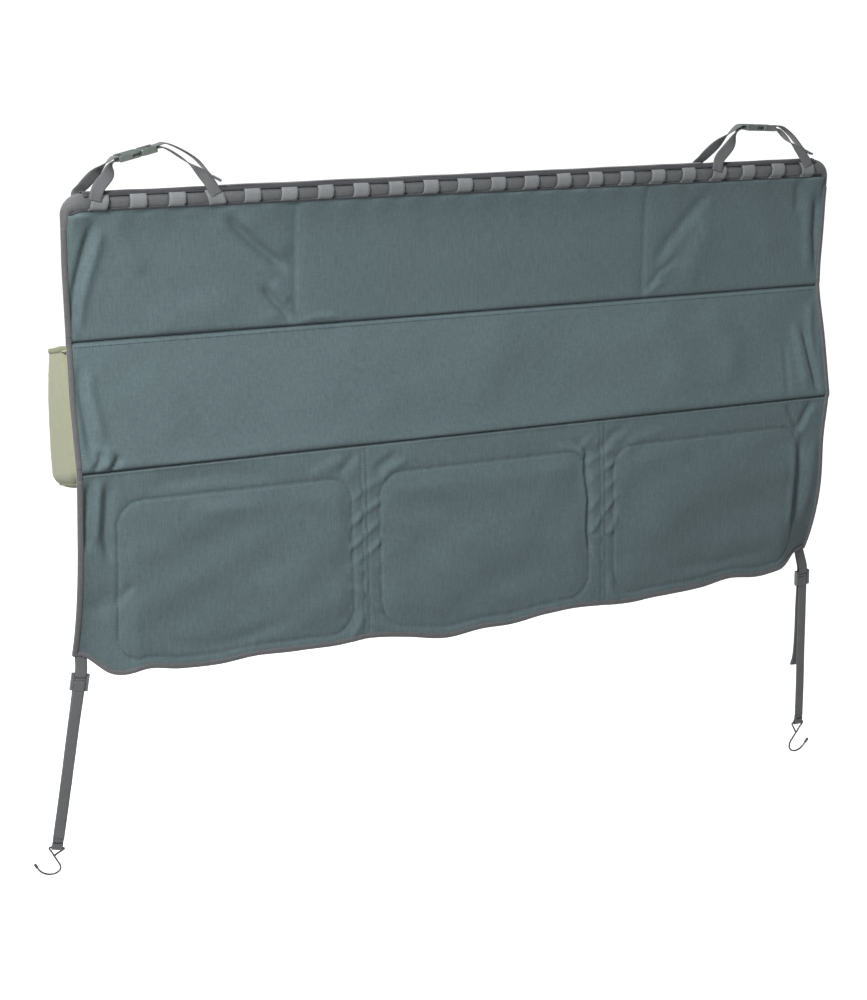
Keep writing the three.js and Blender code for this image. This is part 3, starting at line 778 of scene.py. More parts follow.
def rounded_line(centre_x, centre_v, half, corner, steps=14):
    out = []
    for cx, cv, start in ((1, -1, -90), (1, 1, 0), (-1, 1, 90), (-1, -1, 180)):
        angle = np.radians(np.linspace(start, start + 90, steps))
        out.append(np.stack([
            centre_x + cx * (half[0] - corner) + corner * np.cos(angle),
            centre_v + cv * (half[1] - corner) + corner * np.sin(angle)], -1))
    out.append(out[0][:1])
    return np.concatenate(out)


def build_sections():
    for section, body, v0, v1, step in (
            ("upper", "header", 0, upper_length - seam_gap, 3.6),
            ("middle", "middle", seam_gap, middle_length - seam_gap, 3.6),
            ("lower", "lower", seam_gap, lower_length - 5, 2.7)):
        piece = cloth(section, v0, v1, step)
        ride(piece, body, "cloth_slate", section + "_panel")
    pads = [rounded_line(c, pad_v, pad_half, pad_corner) for c in (-pad_pitch, 0, pad_pitch)]
    lines = {
        "upper": [straight(s * stitch_x, 2, s * stitch_x, upper_length - 2) for s in (-1, 1)],
        "middle": [straight(-half_width + 10, 7, half_width - 10, 7, 300)],
        "lower": pads + [straight(s * d, 3, s * d, lower_length - 8)
                         for s in (-1, 1) for d in divider_x]}
    for section, body in (("upper", "header"), ("middle", "middle"), ("lower", "lower")):
        ride(stitches(section + "_stitching", section, lines[section]), body, "cloth_slate")


def seam_tape(name, top, bottom):
    """The strip behind a fold seam that the two sections are sewn to."""
    x = np.linspace(-half_width + 4, half_width - 4, 340)
    rows = [(top, lengths[top] - reach) for reach in (10, 6, 3)]
    rows += [(bottom, reach) for reach in (3, 6, 10)]
    front = np.array([surface(section, x, v + 0 * x, -cloth_half - 0.5) for section, v in rows])
    piece = shell(name, front, front + np.array([0, 0.9, 0]), slate)
    blend_across(piece)


def blend_across(piece):
    """Bakes a piece's placement into its mesh; the piece is not attached to either section."""
    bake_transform(piece)


def build_seams():
    for name, a, b, seam, top, bottom in (
            ("seam_tape_middle", "header", "middle", seam1, "upper", "middle"),
            ("seam_tape_lower", "middle", "lower", seam2, "middle", "lower")):
        seam_tape(name, top, bottom)


def binding_path(section, side, v0, v1, steps):
    v = np.linspace(v0, v1, steps)
    x = np.full(steps, side * (half_width - binding_half[0]))
    return surface(section, x, v)


def build_bindings():
    section = oval(*binding_half, 14, 0.75)
    for part, body, v0, v1 in (
            ("upper", "header", 16, upper_length - 8), ("middle", "middle", 8, middle_length - 8),
            ("lower", "lower", 8, lower_length)):
        for name, side in sides:
            path = binding_path(part, side, v0, v1, 60)
            piece = sweep(f"{part}_edge_{name}", path, (1, 0, 0), section, trim)
            ride(piece, body, "trim_tape", f"{part}_binding_{name}")
    for number, a, b, top, bottom, seam in ((1, "header", "middle", "upper", "middle", seam1),
                                            (2, "middle", "lower", "middle", "lower", seam2)):
        for name, side in sides:
            above = binding_path(top, side, lengths[top] - 10, lengths[top] - 1, 6)
            below = binding_path(bottom, side, 1, 10, 6)
            piece = sweep(f"edge_bend_{number}_{name}", np.concatenate([above, below]), (1, 0, 0),
                          section * 0.99, trim)
            blend_across(piece)
    x = np.linspace(-half_width + 3, half_width - 3, 420)
    path = surface("lower", x, lower_length - 4 + 0 * x)
    hem = sweep("hem_edge", path, (0, 0, 1), oval(4.2, 3.4, 14, 0.75), trim)
    ride(hem, "lower", "trim_tape", "hem_binding")


# ---- Tube and loops ----

def tube_outline(side):
    """Middle line and radius from the middle of the tube to its end in the side binding."""
    corner = 15.0
    straight_x = np.linspace(0, half_width - tube_radius - corner, 220)
    angle = np.linspace(0, math.pi / 2, 18)[1:]
    bend_x = straight_x[-1] + corner * np.sin(angle)
    bend_z = tube_z - corner * (1 - np.cos(angle))
    down = np.linspace(0, 1, 12)[1:]
    narrow = np.concatenate([0.6 * smoothstep(angle, 0.2, math.pi / 2),
                             0.6 + 0.4 * smoothstep(down, 0, 0.8)])
    radius = np.concatenate([np.full(len(straight_x), tube_radius),
                             tube_radius - (tube_radius - 4.2) * narrow])
    x = np.concatenate([straight_x, bend_x, np.full(len(down), bend_x[-1])])
    z = np.concatenate([np.full(len(straight_x), tube_z), bend_z, bend_z[-1] - 34 * down])
    bent = len(straight_x)
    turned = np.concatenate([np.zeros(bent), np.sin(angle), np.ones(len(down))])
    shift = tube_radius - radius
    x = x + shift * turned
    z = z + shift * np.sqrt(1 - turned ** 2)
    return np.stack([side * x, 0 * x, z], -1), radius


def build_tube():
    left, radius = tube_outline(-1)
    right, _ = tube_outline(1)
    path = np.concatenate([left[::-1], right[1:]])
    radii = np.concatenate([radius[::-1], radius[1:]])
    angle = np.linspace(0, 2 * math.pi, 28, endpoint=False)
    x = path[:, :1]
    squeeze = 0.5 + 0.5 * np.cos(2 * math.pi * (x - loop_pitch / 2) / loop_pitch)
    straight_part = 1 - smoothstep(abs(x), 606, 620)
    lumps = 0.35 * noise(x + 0 * angle, 40 * np.cos(angle) + 0 * x, 26, 22, 81)
    swell = radii[:, None] * (1 + 0 * angle) - 0.9 * squeeze * straight_part + lumps * straight_part
    section = np.stack([swell * np.cos(angle), swell * np.sin(angle)], -1)
    tube = sweep("tube_skin", path, (0, 1, 0), section, trim)
    ride(tube, "header", "trim_tape", "tube_sleeve", "tube_end_left", "tube_end_right")


def loop_arc(from_degrees, to_degrees, bulge, steps, start_x, end_x):
    """A loop's middle line round the tube, from its back tape over the front to its foot, with
    a fold pressed in just above the foot."""
    degrees = np.linspace(from_degrees, to_degrees, steps)
    angle = np.radians(degrees)
    t = smoothstep(degrees, 120, 165)
    r = tube_radius + 1.0 + bulge * t * (1 - 0.8 * smoothstep(degrees, 190, to_degrees))
    r -= 0.35 * bulge * bell(degrees - 214, 7)
    x = start_x + (end_x - start_x) * smoothstep(degrees, 130, 240)
    return np.stack([x, r * np.cos(angle), tube_z + r * np.sin(angle)], -1)


def tube_strip(name, x0, x1, degrees0, degrees1, radius, thickness, material, seed):
    """A tape that lies lengthwise round part of the tube."""
    x, degrees = np.meshgrid(np.linspace(x0, x1, int((x1 - x0) / 5)),
                             np.linspace(degrees0, degrees1, 12))
    angle = np.radians(degrees)
    r = radius + 0.5 * noise(x, degrees, 34, 30, seed)

    def at(out):
        return np.stack([x, (r + out) * np.cos(angle), tube_z + (r + out) * np.sin(angle)], -1)
    return ride(shell(name, at(0.0), at(-thickness), material), "header", "loop_webbing")


def build_loops():
    first_x = -loop_pitch * (loop_count - 1) / 2
    pulled = {0: -7, 3: 8, 18: -7, 21: 4}
    random = np.random.default_rng(7)
    bands = []
    for i in range(loop_count):
        x = first_x + i * loop_pitch
        slant = pulled.get(i, random.uniform(-3.4, -1.6))
        bulge = 2.4 + random.uniform(-0.3, 0.6) + (0.9 if i in pulled else 0)
        path = loop_arc(52, 232, bulge, 44, x - slant / 3, x + slant * 2 / 3)
        band = sweep(f"loop_{i}", path, (1, 0, 0), tape_section(loop_width, webbing), loop_tape)
        bands.append(band)
    ladder = joined("loop_bands", bands)
    ride(ladder, "header", "loop_webbing", "loop_ladder")
    reach = -first_x + loop_width / 2 + 8
    tube_strip("loop_back_tape", -reach, reach, 40, 140, tube_radius + 2.6, 1.0, dark_cloth, 92)
    x = np.linspace(5 - half_width, half_width - 5, 260)
    path = tube_front(x, tube_radius + 2.3 + 0.2 * noise(x, 0 * x, 20, 1, 95), lip_angle(x))
    edge = sweep("top_edge_tape", path, (0, 0, 1), oval(1.3, 0.7, 10), dark_cloth)
    ride(edge, "header", "trim_tape")
    tube_strip("loop_top_tape", -432, 402, 62, 108, tube_radius + 3.4, 1.0, tape_cloth, 93)


# ---- Handles ----

def blended_sides(count, *stops):
    """Across directions along a strap, turning smoothly between the stops (share, direction)."""
    t = np.linspace(0, 1, count)
    out = np.zeros((count, 3)) + np.array(stops[0][1], float)
    for (t0, a), (t1, b) in zip(stops, stops[1:]):
        w = smoothstep(t, t0, t1)[:, None]
        out = np.where((t >= t0)[:, None], (1 - w) * np.array(a, float) + w * np.array(b, float),
                       out)
    return out


def strap(name, points, steps, stops, width=18, curl=0.25, fold_back=0):
    """A flat strap along a smooth path. With fold_back its last stretch is doubled."""
    path = smooth_path(points, steps)
    sections = np.repeat(tape_section(width, webbing, curl)[None], len(path), 0)
    if fold_back:
        along = distances(path)
        start = along[-1] - fold_back
        sections[..., 1] *= 1 + smoothstep(along, start - 2, start)[:, None]
    return sweep(name, path, blended_sides(len(path), *stops), sections, strap_tape)


def build_handle(name, middle, x, z, tilt, sag):
    """An anchor strap turned round the socket's bar, and the plug's pull strap with its tail."""
    c, s = math.cos(math.radians(tilt)), math.sin(math.radians(tilt))

    def place(along, up):
        return (middle + x + along * c - up * s, 0, z + along * s + up * c)

    def here(px, y, pz):
        return (middle + px, y, pz)

    def between(start, end, shift_x, shift_z):
        return tuple((np.array(start) + end) / 2 + (shift_x, 0, shift_z))
    bar, r = 2.4, 1.9 + webbing / 2
    foot = -1.5 * loop_pitch
    front, back = here(foot, -14.6, -37), here(foot - 10, 15, -36)
    under, over = place(-5, -r - 0.9), place(-5, r + 0.4)
    turn = [place(bar + r * math.sin(a), -r * math.cos(a)) for a in np.linspace(0, math.pi, 7)]
    points = [here(foot - 8, -20.4, -54), here(foot - 6, -19.2, -47.5), front,
              between(under, front, 2, -1), under, *turn, over, between(over, back, 0, 1.5), back,
              here(foot - 18, 20.5, -47), here(foot - 20, 19, -56)]
    flat, edgeways = (1, 0, 0), (0, 1, 0)
    anchor = strap(f"anchor_webbing_{name}", points, 170,
                   [(0, flat), (0.2, flat), (0.42, edgeways), (0.6, edgeways), (0.8, flat)])
    ride(anchor, "handles", "strap_webbing", f"anchor_strap_{name}")
    plug_end, pull_foot = place(buckle_length, 0), here(86, -18.4, -54)
    points = [plug_end, place(buckle_length + 12, -2.5), here(54, -4, sag), here(74, -13, sag - 19),
              here(83, -17.4, -47.5), pull_foot]
    pull = strap(f"pull_webbing_{name}", points, 80, [(0, edgeways), (0.3, edgeways), (0.7, flat)])
    ride(pull, "handles", "strap_webbing", f"pull_strap_{name}")
    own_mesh(pull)
    points = [place(52, 2.6), place(62, 3.2), place(73, 3.0), here(60, 0, sag + 10),
              here(82, -6, sag - 14), here(96, -12, -36)]
    tail = strap(f"tail_webbing_{name}", points, 60,
                 [(0, edgeways), (0.6, edgeways), (1, (0.3, 1, 0))], fold_back=13)
    ride(tail, f"plug_{name}", "strap_webbing", f"strap_tail_{name}")


# ---- Hook straps ----

class LowerStrap:
    """A lower strap's own places: x across, y behind and z up, from its lock or its swivel."""

    width = 17
    turn = 1.9 + webbing / 2    # radius at which the strap turns round a bar

    def __init__(self, name):
        self.name = name
        self.lock = mm(joints[f"lock_swing_{name}"]["pos_m"])
        self.swivel = mm(joints[f"hook_swing_{name}"]["pos_m"])
        self.across = unit(np.array(joints[f"lock_swing_{name}"]["axis"], float))
        self.up = unit(np.array(joints[f"strap_adjust_{name}"]["axis"], float))
        self.back = np.cross(self.up, self.across)
        self.level = [(0, self.across), (1, self.across)]

    def at(self, x, y, z, origin=None):
        origin = self.lock if origin is None else origin
        return origin + x * self.across + y * self.back + z * self.up

    def low(self, x, y, z):
        return self.at(x, y, z, self.swivel)


def build_corner_tab(s):
    """A strap sewn to the hem's corner, turned round the lock's top bar."""
    corner = surface("lower", dict(sides)[s.name] * (half_width - 13), lower_length - 14)
    sewn = corner + np.array([0, 4.4, 2])
    r = s.turn
    bend = [s.at(0, r * math.cos(a), r * math.sin(a)) for a in np.linspace(math.pi, 2 * math.pi, 7)]
    points = [sewn, sewn - (0, -1, 12), s.at(0, -r, 9), *bend, s.at(0, r, 9),
              sewn - (0, -4, 11), sewn + np.array([0, 2.6, 1])]
    flat = (1, 0, 0)
    tab = strap(f"tab_webbing_{s.name}", points, 70,
                [(0, flat), (0.3, s.across), (0.7, s.across), (1, flat)], s.width)
    ride(tab, "lower", "strap_webbing", f"corner_tab_{s.name}")


def build_adjuster(s, tail_end):
    """The lock's middle bar, and the strap that is held by it: its loose tail and its long run."""
    r = s.turn
    lock = f"lock_{s.name}"
    line = np.array([s.at(x, 0, -5.5) for x in np.linspace(-9.2, 9.2, 12)])
    bar = sweep(f"lock_bar_{s.name}", line, s.up, oval(2.5, 1.7, 14, 0.7), grey_plastic)
    ride(bar, lock, "buckle_plastic")
    middle_bar, foot = -11.0, -24.0
    bend = [s.at(0, -r * math.cos(a), middle_bar + r * math.sin(a))
            for a in np.linspace(0, math.pi, 9)]
    x, y = tail_end
    points = [s.at(0, -r, foot), s.at(0, -r - 0.2, foot + 6), *bend, s.at(0, r + 0.6, foot),
              s.at(0.2 * x, r + 1.2, -60), s.at(0.4 * x, r + 1.0, -110),
              s.at(0.7 * x, r + 0.4 * y, -150), s.at(x, r + y, -168)]
    tail = strap(f"adjuster_tail_{s.name}", points, 110, s.level, s.width, fold_back=8)
    ride(tail, lock, "strap_webbing", f"strap_tail_lower_{s.name}")
    end = 14 - np.linalg.norm(s.lock - s.swivel)
    z = np.linspace(foot, end, 70)
    wave = 0.5 * noise(z, 0 * z, 60, 1, 17 if s.name == "left" else 18)
    path = np.array([s.at(w, -r + 0.3 * w, h) for w, h in zip(wave, z)])
    run = sweep(f"hook_webbing_{s.name}", path, s.across, tape_section(s.width, webbing, 0.2),
                strap_tape)
    ride(run, lock, "strap_webbing", f"hook_strap_{s.name}")
    tuple(s.at(0, 0, foot) * MM)
    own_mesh(run)


def build_strap_end(s):
    """The strap's end, turned round the hook's wire and held by a zigzag of thread."""
    r = s.turn
    bend = [s.low(0, -r * math.cos(a), -r * math.sin(a)) for a in np.linspace(0, math.pi, 9)]
    points = [s.low(0, -r, 14), s.low(0, -r + 0.2, 9), *bend, s.low(0, -0.6, 8),
              s.low(0, -0.7, 13)]
    end = strap(f"sewn_end_{s.name}", points, 60, s.level, s.width - 1, curl=0)
    ride(end, f"foot_{s.name}", "strap_webbing", f"strap_end_{s.name}")
    beats = 31
    zigzag = np.where(np.arange(beats) % 2, 0.9, -0.9)
    path = np.array([s.low(x, -r - 1.0, 8.6 + z)
                     for x, z in zip(np.linspace(-7.2, 7.2, beats), zigzag)])
    tack = sweep(f"bar_tack_{s.name}", path, s.up, oval(0.4, 0.4, 8), dark_cloth)
    ride(tack, f"foot_{s.name}", "strap_webbing")


def build_hook(s, tilt, opens):
    """One bent wire: a triangle round the strap's end, crossing over itself into an open hook."""
    wire = 1.5
    corner = s.width / 2 + 2.4
    beside = 2 * wire + 0.3
    outline = [(0.4, beside, -19.5), (3.5, beside * 0.8, -14), (corner, 0.4, -1.8),
               (corner - 1.1, 0, 0), (6, 0, 0), (2, 0, 0),
               (-2, 0, 0), (-6, 0, 0), (1.1 - corner, 0, 0), (-corner, 0, -1.8),
               (-5.5, 0, -10), (0, 0, -18.5), (6.5, 0, -28), (12, 0, -37), (12.5, 0, -46),
               (7, 0, -53), (-2, 0, -55.5), (-11, 0, -53), (-18.5, 0, -46.5), (-25, 0, -37.5)]
    c, sine = math.cos(math.radians(tilt)), math.sin(math.radians(tilt))
    turned = [s.low(opens * x, y * c - z * sine, y * sine + z * c) for x, y, z in outline]
    path = smooth_path(turned, 170)
    normal = s.low(0, c, sine) - s.swivel
    hook = sweep(f"hook_wire_{s.name}", path, normal, oval(wire, wire, 12), steel)
    ride(hook, f"swivel_{s.name}", "hook_steel", f"hook_{s.name}")
    last = unit(path[-1] - path[-4])
    along = np.linspace(-7.5, 2.0, 16)
    radius = 2.25 * np.sqrt(np.clip(1 - (np.clip(along, 0, 2) / 2.05) ** 2, 0, 1))
    radius = np.minimum(radius, 1.75 + 0.5 * smoothstep(along, -7.5, -5.5))
    cap = sweep(f"hook_tip_{s.name}", path[-1] + along[:, None] * last, normal,
                np.array([oval(q, q, 14) for q in np.maximum(radius, 0.15)]), rubber)
    ride(cap, f"swivel_{s.name}", "buckle_plastic")


def build_hook_strap(name, tilt, opens, tail_end):
    s = LowerStrap(name)
    build_corner_tab(s)
    build_adjuster(s, tail_end)
    build_strap_end(s)
    build_hook(s, tilt, opens)


# ---- Pocket side ----

def build_flat_pockets():
    for name in ("left", "centre", "right"):
        low, high = box_mm(f"flat_pocket_{name}")
        v0, v1 = cloth_top - high[2], cloth_top - low[2]
        x0, x1 = low[0], high[0]
        columns = int((x1 - x0) / 5)
        v, x = np.meshgrid(np.linspace(v0, v1, 30), np.linspace(x0, x1, columns), indexing="ij")
        across, down = (x - x0) / (x1 - x0), (v - v0) / (v1 - v0)
        edge = np.sin(math.pi * np.clip(across, 0, 1)) ** 0.35
        slack = 4.5 * edge * (1 - smoothstep(down, 0.55, 1)) * (1 + 0.3 * noise(x, v, 80, 60, 101))
        slack += 1.6 * edge * (0.5 + noise(x, v, 46, 34, 102)) * smoothstep(1 - down, 0, 0.2)
        inner = surface("upper", x, v, -cloth_half - 0.4)
        inner[..., 1] += np.maximum(slack, 0)
        outer = inner + np.array([0, 1.2, 0])
        pocket = shell(f"slip_pocket_{name}", inner, outer, slate)
        ride(pocket, "header", "cloth_slate", f"flat_pocket_{name}")
        hem = sweep(f"slip_pocket_hem_{name}", outer[0] + (0, -0.6, 0), (0, 0, 1),
                    oval(5, 1.7, 14, 0.7), trim)
        ride(hem, "header", "trim_tape")


def get_points(mesh):
    return np.array([v.co for v in mesh.vertices], float)


def set_points(mesh, points):
    mesh.vertices.foreach_set("co", points.astype(np.float32).ravel())
    mesh.update()


def middle_at(x, out, down):
    """Points in the middle section's own directions: out behind it and down along it."""
    behind = np.array([0, -middle_down[2], middle_down[1]])
    x, out, down = np.broadcast_arrays(x, out, down)
    return (seam1 + x[..., None] * (1, 0, 0) + out[..., None] * behind
            + down[..., None] * middle_down)


def ring(half_x, half_y, corner, count):
    """A rounded rectangle's points, count of them along each long side."""
    arc = np.linspace(0, math.pi / 2, 7)
    corners = []
    for k, (x, y) in enumerate(((1, 1), (-1, 1), (-1, -1), (1, -1))):
        angle = arc + k * math.pi / 2
        corners.append(np.stack([x * (half_x - corner) + corner * np.cos(angle),
                                 y * (half_y - corner) + corner * np.sin(angle)], -1))
    out = []
    for k in range(4):
        end, begin = corners[k][-1], corners[(k + 1) % 4][0]
        t = np.linspace(0, 1, (10 if k % 2 else count) + 2)[1:-1, None]
        out += [corners[k], end * (1 - t) + begin * t]
    return np.concatenate(out)


def pouch_far(down):
    """How far behind the panel the pouch's far wall stands: it is deeper at its foot."""
    return 88 + 0.21 * np.clip(down - 5, 0, 180)


def pouch_rows():
    """Distances down the pouch, and how far in it comes there: walls, rounded foot and floor."""
    turn = np.linspace(0, math.pi / 2, 9)[1:]
    wall_end = pouch_bottom - pouch_foot
    return ([(down, 0.0) for down in np.linspace(pouch_top, wall_end, pouch_wall_rows)]
            + [(wall_end + pouch_foot * math.sin(a), pouch_foot * (1 - math.cos(a))) for a in turn]
            + [(pouch_bottom, inset) for inset in np.linspace(pouch_foot, 47, 7)[1:]])


def pouch_ring(down, inset, thin):
    """One ring of the pouch's cloth, thin in from its outer face."""
    near_wall = pouch_near + 15 * smoothstep(down, middle_length - 4, pouch_bottom - 4)
    far_wall = pouch_far(down)
    half_y = (far_wall - near_wall) / 2 - inset - thin
    corner = max(min(pouch_corner - thin, half_y - 0.2), 0.2)
    x, y = ring(pouch_reach - inset - thin, half_y, corner, 220).T
    share = (down - pouch_top) / (pouch_bottom - pouch_top)
    belly = math.sin(math.pi * min(share, 1)) ** 0.8 if inset < 1 else 0.35
    loose = max(0.0, 1 - inset / 50)
    far = smoothstep(y, 0, half_y - 6) * loose
    ends = smoothstep(abs(x), pouch_reach - 30, pouch_reach - 4) * loose
    lumps = noise(x, down + 0 * x, 95, 60, 111) + 0.5 * noise(x, down + 0 * x, 38, 30, 112)
    # The wall lies flatter under the flap
    lumps = lumps * (0.25 + 0.75 * smoothstep(down, 34, 75))
    puckers = noise(x, y, 16, 14, 114) * (math.exp(-abs(down - pouch_bottom + 14) / 12)
                                          + math.exp(-(down - pouch_top) / 10))
    y = y + far * (4.0 * belly + 2.4 * lumps + 0.9 * puckers)
    x = x + np.sign(x) * ends * (2.5 * belly + 1.4 * lumps)
    sag = down + 2.0 * noise(x, y, 120, 60, 113) * (1 - loose)
    return middle_at(x, (near_wall + far_wall) / 2 + y, sag)


def build_box_pocket():
    """The pouch's walls, foot and floor are two layers of rings, joined at its open top."""
    thick = 2.4
    rows = pouch_rows()
    outer, inner = (np.array([pouch_ring(*row, thin) for row in rows]) for thin in (0.0, thick))
    for j in range(pouch_wall_rows, len(rows)):
        inner[j] -= thick * middle_down * min(1, (j - pouch_wall_rows + 1) / 8)
    count = outer.shape[1]
    size = len(rows) * count
    faces = [f[1:] + f[:1] for f in ring_faces(len(rows), count)] + [list(range(size - count, size))]
    faces += [[k + size for k in f[::-1]] for f in faces]
    faces += [(size + k, size + (k + 1) % count, (k + 1) % count, k) for k in range(count)]
    pocket = make("box_pouch", np.concatenate([outer, inner]).reshape(-1, 3), faces, sage)
    ride(pocket, "middle", "cloth_sage", "box_pocket")
    for label, row, half_out, half_along in (("rim", 0, 1.9, 3.6),
                                             ("piping", pouch_wall_rows + 3, 1.5, 1.5)):
        line = np.concatenate([outer[row], outer[row][:1]])
        tape = sweep(f"box_pouch_{label}", line, middle_down, oval(half_along, half_out, 12, 0.8),
                     sage_tape)
        ride(tape, "middle", "cloth_sage")
    # Stitched seams down the far corners
    down = np.linspace(14, pouch_bottom - pouch_foot, 60)
    y = pouch_far(down) + 3.6 + 1.6 * np.sin(math.pi * down / pouch_bottom)
    for name, side in sides:
        line = middle_at(side * (pouch_reach - 26), y, down)
        seam = sweep(f"box_pouch_seam_{name}", line, (1, 0, 0), oval(2.2, 1.5, 10), sage_tape)
        ride(seam, "middle", "cloth_sage")


def build_flap():
    """The flap is sewn behind the panel, domes over the pouch and hangs over its far edge."""
    near, far, reach = pouch_near, pouch_far(5) + 3.6, pouch_reach
    profile = smooth_path([(near - 1.5, 5.0, 0), (near + 18, 3.0, 0), (near + 48, 1.6, 0),
                           (far - 18, 2.0, 0), (far - 4, 5.5, 0), (far + 3, 14, 0),
                           (far + 8.5, 36, 0)], 40)[:, :2]
    x, out = np.meshgrid(np.linspace(-reach, reach, 300), profile[:, 0])
    ends = smoothstep(abs(x), reach - 16, reach)
    down = profile[:, 1:] + 5 * ends ** 2 + 1.2 * noise(x, out, 70, 40, 121)
    down = down + 0.5 * noise(x, out, 15, 22, 123) * smoothstep(out, near + 40, near)
    out = out + 1.1 * noise(x, down, 60, 30, 122) * smoothstep(out, near, near + 30)
    turned = np.clip((abs(x) - reach + 20) / 20, 0, 1)
    out = out - 19 * (1 - np.sqrt(1 - turned ** 2)) * smoothstep(out, near + 36, far - 4)
    top = middle_at(x, out, down)
    normal = unit(np.cross(np.gradient(top, axis=0), np.array([1.0, 0, 0])))
    flap = shell("pouch_flap", top[::-1], (top + 1.8 * normal)[::-1], sage)
    ride(flap, "flap", "cloth_sage", "box_flap")
    hem = sweep("pouch_flap_hem", top[-1] + 0.9 * normal[-1], middle_down,
                oval(4, 1.9, 12, 0.7), sage_tape)
    ride(hem, "flap", "cloth_sage")
    edge = sweep("pouch_flap_edge", top[-9] + 1.9 * normal[-9], normal[-9], oval(0.5, 0.9, 8),
                 sage_tape)
    ride(edge, "flap", "cloth_sage")


def inflate(piece, frames=18, pressure=3.5, cap=9.0):
    """Cloth simulation: the closed mesh swells under pressure, and no point moves past the cap."""
    rest = get_points(piece.data)
    cloth_modifier = piece.modifiers.new("cloth", "CLOTH")
    sewn = piece.vertex_groups.new(name="sewn")
    sewn.add([i for i, p in enumerate(rest) if p[1] < 5 * MM], 1.0, "REPLACE")
    settings = cloth_modifier.settings
    for key, value in dict(
            quality=5, mass=0.3, tension_stiffness=30, compression_stiffness=30,
            bending_stiffness=0.4, use_pressure=True, uniform_pressure_force=pressure,
            vertex_group_mass="sewn").items():
        setattr(settings, key, value)
    settings.effector_weights.gravity = 0
    for number in range(1, frames + 1):
        bpy.context.scene.frame_set(number)
    evaluated = piece.evaluated_get(bpy.context.evaluated_depsgraph_get())
    move = (get_points(evaluated.to_mesh()) - rest) * (0.15, 1, 0.15)
    evaluated.to_mesh_clear()
    piece.modifiers.remove(cloth_modifier)
    bpy.context.scene.frame_set(1)
    move[:, 1] = np.maximum(move[:, 1], -0.5 * MM)
    far = np.linalg.norm(move, axis=1, keepdims=True)
    set_points(piece.data, rest + move * np.minimum(1, cap * MM / np.maximum(far, 1e-9)))


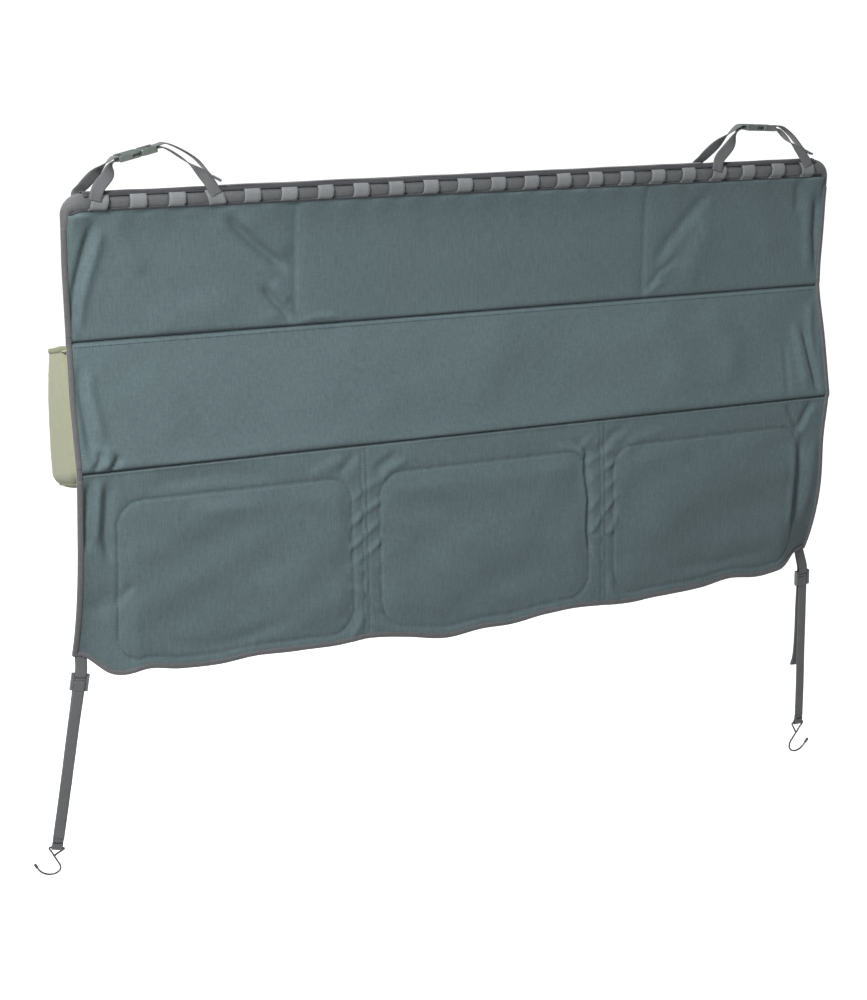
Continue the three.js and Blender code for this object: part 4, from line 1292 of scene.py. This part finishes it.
def build_compartment(name, side):
    """A padded, zipped compartment. Its own directions: x across, y out from the cloth, z up."""
    tilt = math.radians(-4 if side == 0 else -1.2)
    turn = Matrix.Rotation(tilt, 3, "X") @ Matrix.Rotation(math.radians(side * 2.2), 3, "Z")
    turn = np.array(turn)
    origin = np.array([side * pad_pitch, seam2[1] + (4 if side == 0 else 11.5),
                       seam2[2] - pad_drop])

    def to_part(points):
        return origin + np.asarray(points, float) @ turn.T

    def outline(y, out, corner):
        p = ring(pad_half[0] + out, pad_half[1] + out, corner, 60)
        return np.stack([p[:, 0], np.full(len(p), y), p[:, 1] - pad_half[1]], -1)
    depth = 46.0
    layers = [(1.5, -7), (6, -4), (16, -3), (28, -3), (38, -4.5), (42.5, -7.5), (44, -12)]
    rings = [outline(y, out, pad_corner - 2) for y, out in layers]
    faces = tube_faces(len(rings), len(rings[0]))
    body = make(f"compartment_body_{name}", np.concatenate(rings), [f[::-1] for f in faces], slate)
    remesh = body.modifiers.new("remesh", "REMESH")
    remesh.mode = "VOXEL"
    remesh.voxel_size = 6 * MM
    graph = bpy.context.evaluated_depsgraph_get()
    body.data = bpy.data.meshes.new_from_object(body.evaluated_get(graph))
    body.modifiers.clear()
    body.data.shade_smooth()
    inflate(body)
    co = get_points(body.data) / MM
    # Soft dents, a flat zip track, and sewn edges held in
    on_face = smoothstep(co[:, 1], 30, 44)
    co[:, 1] += on_face * (1.6 * noise(co[:, 0], co[:, 2], 70, 55, 131 + side)
                           + 0.8 * noise(co[:, 0], co[:, 2], 30, 26, 141 + side))
    track = bell(co[:, 2] - zip_z, 12) * on_face
    co[:, 1] = co[:, 1] * (1 - track) + np.minimum(co[:, 1], 44.6) * track
    co[:, 1] = np.clip(co[:, 1], 1.0, depth + 5)
    set_points(body.data, to_part(co) * MM)
    body.data.materials.clear()
    body.data.materials.append(slate)
    smooth = body.modifiers.new("smooth", "SUBSURF")
    smooth.levels = smooth.render_levels = 1
    ride(body, "lower", "cloth_slate", f"compartment_{name}")
    for label, y, out, radius in (("far", 40.5, -4.9, 1.8), ("near", 4, -4.4, 1.7)):
        line = outline(y, out, pad_corner)
        line = to_part(np.concatenate([line, line[:1]]))
        piping = sweep(f"piping_{label}_{name}", line, (0, 1, 0), oval(radius, radius, 8), trim)
        ride(piping, "lower", "trim_tape")
    build_zip(name, to_part, turn)


def build_zip(name, to_part, turn):
    """A coil zip along the compartment's face, under its slider."""
    half, turns = 158.0, 158
    x = np.linspace(-half, half, 90)
    line = to_part(np.stack([x, np.full(90, 45.2), np.full(90, zip_z)], -1))
    tape = sweep(f"zip_tape_{name}", line, turn @ (0, 0, 1), tape_section(24, 0.9), dark_cloth)
    ride(tape, "lower", "trim_tape")
    t = np.linspace(0, turns * 2 * math.pi, turns * 6)
    x = np.linspace(4 - half, half - 4, len(t))
    coil = np.stack([x, 45.9 + 0.35 * np.sin(t), zip_z + 2.2 * np.cos(t)], -1)
    teeth = sweep(f"zip_coil_{name}", to_part(coil), (0, 1, 0.2), oval(0.35, 0.35, 5), dark_cloth)
    ride(teeth, "lower", "trim_tape")


# ---- Pieces carried over from the frame ----

def dress_frame():
    """Edges of moulded pieces are rounded, and each carried-over piece gets its material."""
    looks = {"buckle": (plastic, 0.5, "buckle_plastic"),
             "ladder_lock": (grey_plastic, 0.6, "buckle_plastic"),
             "zip_slider": (silver, 0.3, "hook_steel"), "stiffener_rod": (steel, 0.3, "rod_metal")}
    for name, piece in frame["nodes"].items():
        for start, (material, width, slot) in looks.items():
            if not name.startswith(start):
                continue
            if not piece.material_slots:
                piece.data.materials.append(material)
            for held in piece.material_slots:
                held.material = material
            weld = piece.modifiers.new("weld", "WELD")
            weld.merge_threshold = 0.02 * MM
            bevel = piece.modifiers.new("bevel", "BEVEL")
            bevel.width = width * MM
            bevel.segments = 2
            bevel.limit_method = "ANGLE"
            bevel.angle_limit = math.radians(35)


add_camera()
add_stage()
build_sections()
build_seams()
build_bindings()
build_tube()
build_loops()
build_handle("left", -513, -54, -1, 13, -13)
build_handle("right", 513, -34, 10, -3, -14)
build_hook_strap("left", 25, 1, (1.6, 1.0))
build_hook_strap("right", 6, -1, (-4, 7))
build_flat_pockets()
build_box_pocket()
build_flap()
for compartment, place in (("left", -1), ("centre", 0), ("right", 1)):
    build_compartment(compartment, place)
dress_frame()
